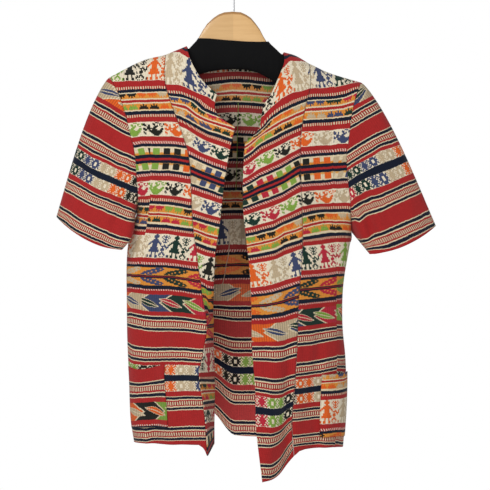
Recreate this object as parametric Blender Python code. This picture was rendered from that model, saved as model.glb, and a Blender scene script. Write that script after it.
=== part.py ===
# A short-sleeved, collarless jacket of striped handwoven cloth, hanging open on a covered wooden hanger.
# Metres, +Z up. The front faces -Y and the wearer's right is -X. The origin is where the hook hangs.

import math

import bpy
import bmesh
import numpy as np

MM = 0.001

# Cloth and seams
CLOTH = 0.0016  # wall of the jacket's cloth
GAP = 0.0004  # between neighbouring pieces
STEEPEST_MITRE = 0.75  # cosine at which a mitred edge stops getting deeper
ROLL = 0.020  # how far the cloth rolls forward and back over the hanger
SIDE_ROLL = 0.022  # how wide the rounded edge at a side seam is
UNDERARM = 0.40  # place of the underarm down the side, as a share of the length
SIDE_BLEND = 0.04  # share of the length over which the armhole edge turns into the side seam

# Where the rows of a body panel lie, as shares of its length from shoulder to hem
DOWNS = (0, 0.008, 0.025, 0.05, 0.08, 0.12, 0.16, 0.20, 0.24, 0.28, 0.32, 0.36, 0.385, UNDERARM,
         0.45, 0.50, 0.55, 0.60, 0.65, 0.70, 0.75, 0.80, 0.85, 0.90, 0.95, 1.0)
NECK_CORNER = 0.20  # where the neckline meets the front edge
SIDE_COLUMNS = (2, 4)  # side seam to dart, dart to princess seam
CENTRE_COLUMNS = (2, 2)  # princess seam to the middle of the panel, and on to the front edge
NECK_COLUMNS = 8  # across the back neck

# Lines down the panels. Columns: share of the length, x, forward of the roll, height, all but the first in mm
SIDE_RIGHT = (
    (0, -204, 0, -178), (0.06, -190, 3, -204), (0.125, -179, 6, -234), (0.20, -169, 9, -272),
    (0.28, -160, 11, -314), (0.32, -158, 10, -345), (0.36, -156, 7, -375), (0.385, -158, 6, -392),
    (0.40, -160, 0, -402), (0.45, -164, 0, -428), (0.50, -169, 0, -455), (0.55, -173, 0, -482),
    (0.65, -176, 0, -546),
    (0.75, -176, 0, -614), (0.85, -173, 0, -676), (0.95, -170, 0, -747), (1, -165, 0, -779),
)
DART_RIGHT = (
    (0, -162, 0, -156), (0.06, -153, 4, -193), (0.125, -143, 9, -228), (0.20, -137, 13, -270),
    (0.28, -135, 16, -318), (0.36, -136, 15, -379), (0.45, -142, 10, -426), (0.55, -152, 9, -478),
    (0.65, -150, 9, -544), (0.75, -148, 10, -611), (0.85, -147, 12, -672), (0.95, -144, 14, -742),
    (1, -142, 15, -777),
)
PRINCESS_RIGHT = (
    (0, -112, 0, -141), (0.06, -112, 9, -188), (0.125, -102, 17, -224), (0.20, -85, 24, -270),
    (0.28, -72, 30, -315), (0.36, -68, 33, -370), (0.45, -66, 35, -418), (0.55, -59, 38, -470),
    (0.65, -50, 43, -535), (0.75, -43, 50, -595), (0.80, -50, 55, -633), (0.85, -55, 58, -662),
    (0.90, -49, 60, -702), (0.95, -45, 62, -736), (1, -42, 63, -788),
)
EDGE_RIGHT = (
    (0, -78, 0, -127), (0.03, -73, 6, -146), (0.06, -65, 10, -165), (0.09, -51, 14, -188),
    (0.12, -36, 20, -203), (0.14, -27, 23, -212), (0.16, -31, 25, -231), (0.175, -26, 28, -246),
    (0.20, 2, 36, -266), (0.28, -9, 40, -319), (0.36, -16, 41, -367), (0.45, -21, 40, -412),
    (0.55, -29, 36, -468), (0.65, -32, 30, -537), (0.75, -34, 24, -605), (0.85, -32, 17, -674),
    (0.95, -33, 13, -747), (1, -33, 12, -777),
)
SIDE_LEFT = (
    (0, 209, 0, -187), (0.05, 201, 3, -207), (0.10, 194, 6, -232), (0.16, 190, 8, -258),
    (0.22, 186, 10, -289), (0.28, 183, 11, -317), (0.32, 185, 10, -346), (0.36, 190, 7, -390),
    (0.385, 192, 6, -418), (0.40, 194, 0, -434), (0.45, 191, 0, -455), (0.50, 187, 0, -478),
    (0.55, 183, 0, -501), (0.60, 180, 0, -526), (0.70, 179, 0, -587), (0.80, 184, 0, -643),
    (0.90, 185, 0, -711), (0.95, 183, 0, -750), (1, 180, 0, -787),
)
DART_LEFT = (
    (0, 168, 0, -175), (0.05, 163, 4, -206), (0.10, 162, 8, -231), (0.20, 162, 13, -282),
    (0.28, 161, 16, -327), (0.36, 162, 15, -392), (0.45, 167, 10, -450), (0.55, 168, 9, -499),
    (0.65, 167, 9, -553), (0.75, 168, 10, -613), (0.85, 167, 12, -677), (0.95, 166, 14, -747),
    (1, 164, 15, -783),
)
PRINCESS_LEFT = (
    (0, 124, 0, -156), (0.05, 125, 9, -195), (0.10, 118, 15, -225), (0.16, 111, 21, -260),
    (0.28, 108, 31, -331), (0.36, 110, 34, -386), (0.45, 111, 36, -444), (0.55, 109, 38, -490),
    (0.65, 104, 42, -548), (0.75, 102, 46, -610), (0.85, 98, 50, -676), (0.95, 93, 54, -748),
    (1, 96, 55, -790),
)
MIDDLE_LEFT = (
    (0, 102, 0, -143), (0.06, 98, 11, -187), (0.12, 88, 19, -222), (0.20, 63, 36, -277),
    (0.28, 60, 42, -331), (0.36, 61, 45, -385), (0.45, 64, 46, -442), (0.55, 66, 48, -489),
    (0.65, 66, 53, -544), (0.75, 66, 58, -610), (0.85, 66, 64, -681), (0.95, 66, 70, -763),
    (1, 69, 74, -818),
)
EDGE_LEFT = (
    (0, 82, 0, -137), (0.03, 82, 6, -157), (0.06, 76, 10, -174), (0.09, 68, 14, -193),
    (0.12, 59, 18, -213), (0.15, 47, 22, -232), (0.17, 44, 26, -251), (0.185, 40, 34, -271),
    (0.20, 18, 45, -293), (0.28, 15, 50, -345), (0.36, 15, 52, -396), (0.45, 20, 52, -447),
    (0.55, 25, 54, -492), (0.65, 28, 58, -544), (0.75, 29, 64, -613), (0.85, 34, 72, -680),
    (0.95, 37, 82, -760), (1, 45, 88, -824),
)
# Lines down the back, with the distance behind the roll. The side lines start at the shoulder tips
BACK_ARMHOLE_RIGHT = (
    (0, -204, 0, -178), (0.06, -197, 3, -204), (0.125, -189, 5, -234), (0.20, -182, 7, -272),
    (0.28, -174, 8, -314), (0.36, -165, 6, -375), (0.385, -162, 5, -392), (0.40, -160, 0, -402),
)
BACK_ARMHOLE_LEFT = (
    (0, 209, 0, -187), (0.06, 206, 3, -213), (0.125, 202, 5, -243), (0.20, 199, 7, -281),
    (0.28, 196, 8, -322), (0.36, 194, 6, -390), (0.385, 193, 5, -418), (0.40, 194, 0, -434),
)
BACK_QUARTER_RIGHT = (
    (0, -78, 0, -127), (0.06, -79, 8, -176), (0.125, -80, 13, -222), (0.28, -82, 21, -314),
    (0.40, -82, 24, -396), (0.60, -78, 24, -508), (0.80, -72, 28, -641), (1, -66, 32, -763),
)
BACK_MIDDLE = (
    (0, 2, 4, -150), (0.06, 2, 8, -186), (0.125, 2, 13, -228), (0.28, 2, 22, -318),
    (0.40, 2, 25, -400), (0.60, 3, 25, -515), (0.80, 4, 29, -648), (1, 5, 33, -778),
)
BACK_QUARTER_LEFT = (
    (0, 82, 0, -137), (0.06, 84, 8, -184), (0.125, 86, 13, -230), (0.28, 88, 21, -324),
    (0.40, 90, 24, -412), (0.60, 88, 24, -522), (0.80, 88, 28, -650), (1, 86, 32, -780),
)

# Back neck between the shoulder seams. Columns: x, distance behind, height, in mm
BACK_NECK = (
    (-72, 15, -133), (-50, 20, -144), (-25, 23, -149), (2, 24, -151), (29, 23, -151), (54, 20, -149),
    (76, 15, -142),
)

# The back's deep fold. Metres, and shares of the length
FOLD_X = -0.026  # where the cloth steps up and back
FOLD_WIDTH = 0.024
FOLD_LIFT = 0.030  # how far the hem is lifted on its right
FOLD_DEPTH = 0.014
FOLD_START = 0.60
FOLD_REACH = 0.110  # the lift dies away over this width towards the side seam

# Soft upright waves of the fronts below the waist.
# Columns: side (-1 right, 1 left), x, half width, forward in mm, share where each starts
WAVES = (
    (-1, -0.100, 0.020, 5, 0.62),
    (-1, -0.128, 0.014, -4, 0.70),
    (1, 0.130, 0.018, -5, 0.60),
    (1, 0.085, 0.013, -7, 0.68),
    (1, 0.150, 0.014, 4, 0.72),
    (1, 0.052, 0.018, 5, 0.72),
)
DART_TOP = 0.36
DART_END = 0.66
DART_DEPTH = 0.0012

# Facing that shows on the turned-back right front, between two shares of the length
FACING_TOP = 0.70
FACING_END = 0.995

# Sleeves. Columns: x, y and height of the hem's outer end, then of its inner end, in mm, and half depth
SLEEVE_HEMS = {
    "right": ((-293, 2, -408), (-189, -30, -463), 25),
    "left": ((333, 2, -423), (221, -26, -470), 25),
}
SLEEVE_ROWS = (0, 0.05, 0.13, 0.25, 0.40, 0.55, 0.70, 0.85, 1.0)
SLEEVE_CROWN = 0.011  # how far the outer edge stands out past a straight line
SLEEVE_HANG = 0.010  # how far the hem's lower edge bows
SLEEVE_EASE = 0.9  # rounds the flattened tube
SLEEVE_CREASE = 0.006  # depth of the left sleeve's long crease

# Patch pockets. Columns: side front they lie on, first and last column, upper and lower share, gape in m
POCKETS = {
    "right": (0.25, 3.75, 0.815, 0.962, 0.0020),
    "left": (0.20, 3.70, 0.830, 0.975, 0.0045),
}
POCKET_LIP = 0.018  # share of the length from the pocket's top edge to the next row
POCKET_SAG = 0.006  # how far the right pocket's top edge dips

# Hanger
WIRE = 0.0023
HOOK_RADIUS = 0.0225
WOOD_TOP = -0.070
COVER_WALL = 0.0015
COVER_SLOT = 6.6  # half width in mm of the opening that the wood comes out of
COVER_SEAM = 0.6  # half width in mm of the open seam along the arms
# Wood, columns: x, top, bottom, half thickness, in mm
WOOD_SECTIONS = (
    (-176, -187, -197, 5), (-160, -170, -195, 6), (-130, -158, -190, 6), (-100, -148, -183, 6),
    (-78, -139, -174, 6), (-70, -135, -169, 6), (-62, -130, -164, 6), (-60, -125, -162, 6),
    (-58, -112.5, -162, 6), (-51, -100, -160, 6), (-44, -90, -158, 6), (-34, -80.5, -157, 6),
    (-25, -74.5, -156, 6), (-16, -71.2, -156, 6), (-3, -70, -156, 6), (11, -71, -156, 6),
    (20, -75, -156, 6), (28, -80.5, -158, 6), (36, -90, -160, 6), (43, -100, -162, 6),
    (48, -110, -164, 6), (54.5, -121, -168, 6), (57, -129, -170, 6), (66, -141, -175, 6),
    (80, -148, -184, 6), (100, -156, -195, 6), (130, -172, -205, 6), (160, -185.5, -209, 6),
    (182, -193, -207, 5),
)
# Cover, columns: x, top, bottom, half thickness, in mm
COVER_SECTIONS = (
    (-186, -175, -204, 12), (-160, -158.6, -203, 13), (-130, -148.1, -198, 13),
    (-113, -143.8, -195, 12.5), (-100, -139.4, -192, 12),
    (-78, -132.5, -183, 11), (-74, -131, -181, 11), (-68, -124.5, -178, 10.5), (-59, -115, -174, 10),
    (-40, -115.5, -169, 10), (-20, -117.5, -166, 10), (0, -119, -165, 10), (20, -120.5, -166, 10),
    (40, -121, -171, 10), (57, -120.5, -180, 10), (70, -132.5, -189, 10.5), (76, -138.5, -193, 11),
    (80, -141, -196, 11), (100, -145.2, -206, 12), (130, -161.9, -214, 13), (160, -175.4, -218, 13),
    (192, -185.2, -215, 12),
)
SECTION_POINTS = 16
WOOD_SQUARENESS = 0.45  # the smaller, the squarer
COVER_SQUARENESS = 0.85


def clear_objects():
    for item in list(bpy.data.objects):
        bpy.data.objects.remove(item, do_unlink=True)


def material(name, colour, roughness, metallic=0.0):
    made = bpy.data.materials.new(name)
    made.use_nodes = True
    shader = made.node_tree.nodes["Principled BSDF"]
    shader.inputs["Base Color"].default_value = (*colour, 1)
    shader.inputs["Roughness"].default_value = roughness
    shader.inputs["Metallic"].default_value = metallic
    return made


def slopes(knots, values):
    """Slope of a smooth curve at each knot, from the slopes of the stretches beside it."""
    steps = np.diff(knots)[:, None]
    chords = np.diff(values, axis=0) / steps
    inner = (chords[:-1] * steps[1:] + chords[1:] * steps[:-1]) / (steps[1:] + steps[:-1])
    return np.vstack([chords[:1], inner, chords[-1:]])


def smooth(knots, values, places):
    """Values of the smooth curve through the knots, at each place."""
    knots = np.asarray(knots, float)
    values = np.asarray(values, float)
    places = np.asarray(places, float)
    tangents = slopes(knots, values)
    index = np.clip(np.searchsorted(knots, places, side="right") - 1, 0, len(knots) - 2)
    width = (knots[index + 1] - knots[index])[:, None]
    t = (places - knots[index])[:, None] / width
    start = (1 + 2 * t) * (1 - t) ** 2 * values[index] + t * (1 - t) ** 2 * width * tangents[index]
    end = t ** 2 * (3 - 2 * t) * values[index + 1] - t ** 2 * (1 - t) * width * tangents[index + 1]
    return start + end


def line(table, downs, corner=None):
    """x, forward distance and height along a line of the panel, with a sharp corner where one is named."""
    table = np.asarray(table, float)
    downs = np.asarray(downs, float)
    if corner is None:
        return smooth(table[:, 0], table[:, 1:], downs) * MM
    upper = table[table[:, 0] <= corner]
    lower = table[table[:, 0] >= corner]
    above = downs <= corner
    points = np.empty((len(downs), 3))
    points[above] = smooth(upper[:, 0], upper[:, 1:], downs[above])
    points[~above] = smooth(lower[:, 0], lower[:, 1:], downs[~above])
    return points * MM


def quarter(share):
    """Rises from 0 to 1 along a quarter circle, and stays at 1."""
    share = np.clip(share, 0, 1)
    return np.sqrt(np.clip(1 - (1 - share) ** 2, 0, 1))


def soft_step(share):
    share = np.clip(share, 0, 1)
    return share * share * (3 - 2 * share)


def soft_bump(share):
    """1 at the middle and 0 from one half width away."""
    return np.clip(1 - share * share, 0, 1) ** 2


def across(lines, knots, columns):
    """Points between the lines, row by row: rows x columns x 3."""
    stacked = np.stack(lines)
    rows = stacked.shape[1]
    return np.stack([smooth(knots, stacked[:, row], columns) for row in range(rows)])


def turned_over(grid, top, side_x, downs, facing):
    """The cloth rolled over the hanger and round the side seam: facing is -1 in front and 1 behind."""
    drop = np.maximum(top[None, :] - grid[:, :, 2], 0)
    roll = quarter(drop / ROLL)
    away = np.abs(grid[:, :, 0] - side_x[:, None])
    blend = soft_step((downs - (UNDERARM - SIDE_BLEND)) / SIDE_BLEND)[:, None]
    roll = roll * (1 - blend * (1 - quarter(away / SIDE_ROLL)))
    placed = grid.copy()
    placed[:, :, 1] = facing * (grid[:, :, 1] + ROLL * roll)
    return placed


def add_waves(grid, downs, side):
    for where, x, half, forward, start in WAVES:
        if where != side:
            continue
        grow = soft_step((downs - start) / (1 - start))[:, None]
        grid[:, :, 1] -= forward * MM * grow * soft_bump((grid[:, :, 0] - x) / half)


def side_front(side_table, dart_table, princess_table, side, columns=SIDE_COLUMNS, downs=DOWNS):
    """Side front from the side seam to the princess seam, with its waist dart drawn in."""
    downs = np.asarray(downs, float)
    knots = np.cumsum((0,) + columns)
    lines = [line(side_table, downs), line(dart_table, downs), line(princess_table, downs)]
    grid = across(lines, knots, np.arange(knots[-1] + 1))
    placed = turned_over(grid, grid[0, :, 2], grid[:, 0, 0], downs, -1)
    add_waves(placed, downs, side)
    dart = soft_bump((downs - (DART_TOP + DART_END) / 2) / ((DART_END - DART_TOP) / 2))
    placed[:, columns[0], 1] += DART_DEPTH * dart
    return placed


def centre_front(lines, side, columns=CENTRE_COLUMNS, downs=DOWNS):
    """Centre front from the princess seam to the neckline and front edge."""
    downs = np.asarray(downs, float)
    knots = np.cumsum((0,) + columns) if len(lines) == 3 else (0, sum(columns))
    grid = across(lines, knots, np.arange(sum(columns) + 1))
    placed = turned_over(grid, grid[0, :, 2], np.full(len(downs), np.inf), downs, -1)
    add_waves(placed, downs, side)
    return placed


def back_sheet(front_tops, downs=DOWNS):
    """Back from one side seam to the other. Its top row follows the fronts' shoulder lines."""
    downs = np.asarray(downs, float)
    right_top, left_top = front_tops
    shoulder = len(right_top) - 1
    total = shoulder * 2 + NECK_COLUMNS
    below = downs > UNDERARM
    right = line(BACK_ARMHOLE_RIGHT, np.minimum(downs, UNDERARM))
    right[below] = line(SIDE_RIGHT, downs[below])
    left = line(BACK_ARMHOLE_LEFT, np.minimum(downs, UNDERARM))
    left[below] = line(SIDE_LEFT, downs[below])
    lines = [right, line(BACK_QUARTER_RIGHT, downs), line(BACK_MIDDLE, downs),
             line(BACK_QUARTER_LEFT, downs), left]
    knots = (0, shoulder, total / 2, total - shoulder, total)
    grid = across(lines, knots, np.arange(total + 1))
    exact = grid[0].copy()
    exact[:shoulder + 1] = right_top
    exact[total - shoulder:] = left_top[::-1]
    exact[:, 1] = 0
    top = exact[:, 2].copy()
    neck = np.arange(shoulder + 1, total - shoulder)
    top[neck] = np.interp(neck, (shoulder, total - shoulder), (top[shoulder], top[total - shoulder]))
    exact[neck] = np.array(BACK_NECK) * MM
    exact[neck, 1] -= ROLL * quarter((top[neck] - exact[neck, 2]) / ROLL)
    fade = ((1 - downs) ** 6)[:, None, None]
    grid += (exact - grid[0])[None] * fade
    columns = np.arange(total + 1)
    near = np.where(columns[None, :] < total / 2, grid[:, :1, 0], grid[:, -1:, 0])
    drop = np.maximum(top[None, :] - grid[:, :, 2], 0)
    blend = soft_step((downs - (UNDERARM - SIDE_BLEND)) / SIDE_BLEND)[:, None]
    roll = quarter(drop / ROLL) * (1 - blend * (1 - quarter(np.abs(grid[:, :, 0] - near) / SIDE_ROLL)))
    placed = grid.copy()
    placed[:, :, 1] = grid[:, :, 1] + ROLL * roll
    grow = soft_step((downs - FOLD_START) / (1 - FOLD_START))[:, None]
    step = soft_step((FOLD_X + FOLD_WIDTH / 2 - grid[:, :, 0]) / FOLD_WIDTH)
    fade_out = 1 - soft_step((FOLD_X - FOLD_WIDTH / 2 - grid[:, :, 0]) / FOLD_REACH)
    placed[:, :, 2] += FOLD_LIFT * grow * step * fade_out
    placed[:, :, 1] += FOLD_DEPTH * grow * step * fade_out
    return placed


def sleeve_sheet(armhole, hem, side, rows=SLEEVE_ROWS):
    """Tube from the armhole's points to an oval hem. Rows x points round, the first and last at the tip."""
    outer = np.array(hem[0]) * MM
    inner = np.array(hem[1]) * MM
    depth = hem[2] * MM
    steps = np.linalg.norm(np.diff(armhole, axis=0), axis=1)
    reach = np.concatenate([[0], np.cumsum(steps)])
    lowest = len(armhole) // 2
    angle = np.where(
        np.arange(len(armhole)) <= lowest,
        math.pi * reach / reach[lowest],
        math.pi + math.pi * (reach - reach[lowest]) / (reach[-1] - reach[lowest]),
    )
    centre = (outer + inner) / 2
    reach_across = (outer - inner) / 2
    flat = np.sign(np.sin(angle)) * np.abs(np.sin(angle)) ** SLEEVE_EASE
    mouth = centre + np.cos(angle)[:, None] * reach_across
    mouth[:, 1] -= depth * flat
    mouth[:, 2] -= SLEEVE_HANG * (1 - np.cos(angle) ** 2)
    outward = np.array([side, 0, 0.35])
    outward /= np.linalg.norm(outward)
    grid = np.empty((len(rows), len(armhole), 3))
    for row, share in enumerate(rows):
        crown = math.sin(math.pi * share ** 0.62)
        bulge = SLEEVE_CROWN * crown * np.clip(np.cos(angle), 0, 1) ** 1.5
        grid[row] = armhole + (mouth - armhole) * share + outward * bulge[:, None]
        if side > 0:
            crease = soft_bump((angle - 2.25) / 0.5) * soft_step((share - 0.15) / 0.5)
            grid[row, :, 1] += SLEEVE_CREASE * crease
    return grid


def edge_normals(grid):
    """Unit normals of the sheet at its points, from its neighbours along and across."""
    along = np.gradient(grid, axis=0)
    over = np.gradient(grid, axis=1)
    normals = np.cross(over, along)
    lengths = np.linalg.norm(normals, axis=2, keepdims=True)
    return normals / np.maximum(lengths, 1e-12)


def joined_normals(grids, outwards):
    """Normals that pieces share along their seams, so that neighbouring walls meet in a mitre."""
    normals = {name: edge_normals(grid) * outwards[name] for name, grid in grids.items()}
    shared = {}
    rings = {}
    for name, grid in grids.items():
        kind = name.startswith("sleeve")
        for row, column in rim(grid):
            key = tuple(np.round(grid[row, column], 6))
            shared.setdefault(key, ([], []))[kind].append(normals[name][row, column].copy())
        if kind:
            for column, point in enumerate(grid[0]):
                before = grid[0, max(column - 1, 0)]
                after = grid[0, min(column + 1, grid.shape[1] - 1)]
                rings[tuple(np.round(point, 6))] = unit(after - before)
    scale = {name: np.ones(grid.shape[:2]) for name, grid in grids.items()}
    for name, grid in grids.items():
        for row, column in rim(grid):
            key = tuple(np.round(grid[row, column], 6))
            body, sleeve = shared[key]
            if len(body) + len(sleeve) == 1:
                continue
            total = unit(unit(np.sum(body, axis=0)) + unit(np.sum(sleeve, axis=0)))
            if key in rings:
                total = unit(total - rings[key] * np.dot(total, rings[key]))
            own = normals[name][row, column]
            scale[name][row, column] = 1 / max(float(np.dot(own, total)), STEEPEST_MITRE)
            normals[name][row, column] = total
    return normals, scale


def unit(vector):
    vector = np.zeros(3) + vector
    return vector / max(np.linalg.norm(vector), 1e-9)


def rim(grid):
    rows, columns = grid.shape[:2]
    for row in range(rows):
        for column in range(columns):
            if row in (0, rows - 1) or column in (0, columns - 1):
                yield row, column


def drawn_in(grid, amount):
    """The sheet with its four edges drawn in by the same small amount along the cloth."""
    placed = grid.copy()
    for target, source in ((0, 1), (-1, -2)):
        placed[target] += square_to(grid[target], grid[source]) * amount
        placed[:, target] += square_to(grid[:, target], grid[:, source]) * amount
    return placed


def square_to(edge, beside):
    """Unit directions from an edge towards the row beside it, square to the edge."""
    along = np.gradient(edge, axis=0)
    along /= np.maximum(np.linalg.norm(along, axis=1, keepdims=True), 1e-9)
    toward = beside - edge
    toward -= along * np.sum(toward * along, axis=1, keepdims=True)
    return toward / np.maximum(np.linalg.norm(toward, axis=1, keepdims=True), 1e-9)


def wall(name, outer, inner, finish, closed=False):
    """A closed wall between two sheets of points. A closed one runs round as a tube."""
    mesh = bmesh.new()
    rows, columns = outer.shape[:2]
    faces = [[mesh.verts.new(point) for point in row] for row in outer]
    backs = [[mesh.verts.new(point) for point in row] for row in inner]
    steps = columns if closed else columns - 1
    for row in range(rows - 1):
        for column in range(steps):
            after = (column + 1) % columns
            mesh.faces.new((faces[row][column], faces[row + 1][column],
                            faces[row + 1][after], faces[row][after]))
            mesh.faces.new((backs[row][column], backs[row][after],
                            backs[row + 1][after], backs[row + 1][column]))
    for column in range(steps):
        after = (column + 1) % columns
        mesh.faces.new((faces[0][column], faces[0][after], backs[0][after], backs[0][column]))
        mesh.faces.new((faces[-1][after], faces[-1][column], backs[-1][column], backs[-1][after]))
    if not closed:
        for row in range(rows - 1):
            mesh.faces.new((faces[row + 1][0], faces[row][0], backs[row][0], backs[row + 1][0]))
            mesh.faces.new((faces[row][-1], faces[row + 1][-1], backs[row + 1][-1], backs[row][-1]))
    return finish_mesh(name, mesh, finish)


def finish_mesh(name, mesh, finish):
    bmesh.ops.triangulate(mesh, faces=mesh.faces[:], quad_method="FIXED")
    bmesh.ops.recalc_face_normals(mesh, faces=mesh.faces[:])
    data = bpy.data.meshes.new(name)
    mesh.to_mesh(data)
    mesh.free()
    data.materials.append(finish)
    data.shade_smooth()
    data.set_sharp_from_angle(angle=math.radians(50))
    item = bpy.data.objects.new(name, data)
    bpy.context.collection.objects.link(item)
    return item


def panel_wall(name, grid, normals, scale, finish, closed=False, lift=0.0):
    outer = grid + normals * lift
    inner = outer - normals * (CLOTH * scale)[:, :, None]
    return wall(name, outer, inner, finish, closed)


def sampled(grid, rows, columns):
    """Points of a sheet between its own rows and columns."""
    row = np.clip(np.floor(rows).astype(int), 0, grid.shape[0] - 2)
    column = np.clip(np.floor(columns).astype(int), 0, grid.shape[1] - 2)
    down = (rows - row)[:, None, None]
    over = (columns - column)[None, :, None]
    first = grid[row][:, column] * (1 - over) + grid[row][:, column + 1] * over
    second = grid[row + 1][:, column] * (1 - over) + grid[row + 1][:, column + 1] * over
    return first * (1 - down) + second * down


def build_pocket(side, grid, finish):
    """A patch pocket from the side front's own points, moved out, its top edge standing off a little."""
    start, end, upper, lower, gape = POCKETS[side]
    columns = np.concatenate([[start], np.arange(math.ceil(start), math.floor(end) + 1), [end]])
    downs = np.asarray(DOWNS)
    inner_rows = downs[(downs > upper + 0.02) & (downs < lower - 0.005)]
    shares = np.concatenate([[upper, upper + POCKET_LIP], inner_rows, [lower]])
    rows = np.interp(shares, DOWNS, np.arange(len(DOWNS)))
    points = sampled(grid, rows, columns)
    normals = edge_normals(points)
    normals *= -np.sign(normals[:, :, 1:2].mean())
    open_edge = ((lower - shares) / (lower - upper)) ** 2
    bow = np.sin(math.pi * (columns - start) / (end - start))
    lift = CLOTH + GAP * 2 + gape * open_edge[:, None] * (0.3 + bow[None, :])
    outer = points + normals * lift[:, :, None]
    if side == "right":
        outer[:, :, 2] -= POCKET_SAG * open_edge[:, None] * bow[None, :]
    inner = outer - normals * CLOTH
    return wall("pocket_" + side, outer, inner, finish)


def build_facing(grid, finish):
    """The strip of facing over the turned-back part of the right centre front."""
    downs = np.asarray(DOWNS)
    chosen = np.flatnonzero((downs >= FACING_TOP) & (downs <= FACING_END + 0.01))
    points = grid[chosen]
    normals = edge_normals(points)
    normals *= -np.sign(normals[:, :, 1:2].mean())
    outer = points + normals * (CLOTH + GAP * 2)
    inner = outer - normals * CLOTH
    return wall("facing_right", outer, inner, finish)


def ring(x, top, bottom, half, squareness, spread=0.0):
    """An upright section, from oval to nearly square. A spread opens it at the top by that half width."""
    points = SECTION_POINTS
    start = math.asin(min(spread / half, 1)) if spread else 0
    turns = np.linspace(start, 2 * math.pi - start, points) if spread else \
        np.linspace(0, 2 * math.pi, points, endpoint=False)
    middle = (top + bottom) / 2
    tall = (top - bottom) / 2
    soft = np.sign(np.sin(turns)) * np.abs(np.sin(turns)) ** squareness
    return np.stack([np.full(len(turns), x), half * soft, middle + tall * np.cos(turns)], axis=1) * MM


def build_wood(finish):
    """The hanger's wooden body: oval sections joined from end to end."""
    mesh = bmesh.new()
    loops = [[mesh.verts.new(point) for point in ring(*section, WOOD_SQUARENESS)]
             for section in WOOD_SECTIONS]
    for here, there in zip(loops, loops[1:]):
        for index in range(SECTION_POINTS):
            after = (index + 1) % SECTION_POINTS
            mesh.faces.new((here[index], here[after], there[after], there[index]))
    mesh.faces.new(loops[0])
    mesh.faces.new(loops[-1][::-1])
    return finish_mesh("hanger_wood", mesh, finish)


def build_cover(finish):
    """The cloth cover: wrapped round the arms from below and open along the top, where the hump comes out."""
    outer = []
    inner = []
    for x, top, bottom, half in COVER_SECTIONS:
        spread = COVER_SLOT if -62 < x < 60 else COVER_SEAM
        outer.append(ring(x, top, bottom, half, COVER_SQUARENESS, spread))
        thin = COVER_WALL / MM
        inner.append(ring(x, top - thin * 0.4, bottom + thin, half - thin, COVER_SQUARENESS, spread * 0.9))
    return wall("hanger_cover", np.array(outer), np.array(inner), finish)


def build_hook(finish):
    """Bent wire: a short stem, a side bend and most of a circle."""
    curve = bpy.data.curves.new("hanger_hook", "CURVE")
    curve.dimensions = "3D"
    curve.bevel_depth = WIRE / 2
    curve.bevel_resolution = 2
    curve.use_fill_caps = True
    crown = WIRE / 2
    centre = crown - HOOK_RADIUS
    turns = np.radians(np.linspace(-62, 205, 26))
    foot = centre - HOOK_RADIUS
    points = [(0, 0, WOOD_TOP + GAP), (0, 0, foot - 0.006), (0.003, 0, foot - 0.001)]
    points += [(HOOK_RADIUS * math.cos(turn), 0, centre + HOOK_RADIUS * math.sin(turn)) for turn in turns]
    spline = curve.splines.new("POLY")
    spline.points.add(len(points) - 1)
    for target, point in zip(spline.points, points):
        target.co = (*point, 1)
    item = bpy.data.objects.new("hanger_hook", curve)
    bpy.context.collection.objects.link(item)
    curve.materials.append(finish)
    return item


def main():
    clear_objects()
    red = material("red_stripe", (0.42, 0.03, 0.03), 0.85)
    cream = material("cream_ground", (0.75, 0.66, 0.48), 0.85)
    wood = material("pale_wood", (0.62, 0.38, 0.19), 0.45)
    black = material("black_cover", (0.01, 0.01, 0.011), 0.9)
    steel = material("wire", (0.55, 0.55, 0.55), 0.35, 1.0)
    downs = np.asarray(DOWNS, float)

    princess_right = line(PRINCESS_RIGHT, downs)
    edge_right = line(EDGE_RIGHT, downs, NECK_CORNER)
    princess_left = line(PRINCESS_LEFT, downs)
    middle_left = line(MIDDLE_LEFT, downs)
    edge_left = line(EDGE_LEFT, downs, NECK_CORNER)
    grids = {
        "front_side_right": side_front(SIDE_RIGHT, DART_RIGHT, PRINCESS_RIGHT, -1),
        "front_side_left": side_front(SIDE_LEFT, DART_LEFT, PRINCESS_LEFT, 1),
        "front_centre_right": centre_front([princess_right, edge_right], -1),
        "front_centre_left": centre_front([princess_left, middle_left, edge_left], 1),
    }
    for side in ("right", "left"):
        seam = grids["front_side_" + side][:, -1]
        grids["front_centre_" + side][:, 0] = seam
    tops = [
        np.vstack([grids["front_side_" + side][0], grids["front_centre_" + side][0, 1:]])
        for side in ("right", "left")
    ]
    grids["back"] = back_sheet(tops)
    under = DOWNS.index(UNDERARM)
    for side, column, sign in (("right", 0, -1), ("left", -1, 1)):
        front = grids["front_side_" + side][:under + 1, 0]
        behind = grids["back"][:under + 1, column]
        armhole = np.vstack([front, behind[::-1][1:]])
        grids["sleeve_" + side] = sleeve_sheet(armhole, SLEEVE_HEMS[side], sign)
    outwards = {
        "front_side_right": -1, "front_side_left": 1, "front_centre_right": -1, "front_centre_left": 1,
        "back": 1, "sleeve_right": -1, "sleeve_left": 1,
    }
    normals, scale = joined_normals(grids, outwards)
    for name, grid in grids.items():
        tube = name.startswith("sleeve")
        pulled = drawn_in(grid, GAP / 2)
        if tube:
            pulled = grid.copy()
            pulled[0] += square_to(grid[0], grid[1]) * GAP * 1.5
            pulled, normals[name], scale[name] = pulled[:, :-1], normals[name][:, :-1], scale[name][:, :-1]
        finish = cream if "centre" in name else red
        panel_wall(name, pulled, normals[name], scale[name], finish, closed=tube)
    build_facing(grids["front_centre_right"], cream)
    for side in ("right", "left"):
        build_pocket(side, grids["front_side_" + side], cream)
    build_wood(wood)
    build_cover(black)
    build_hook(steel)


main()
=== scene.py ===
import math

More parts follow.
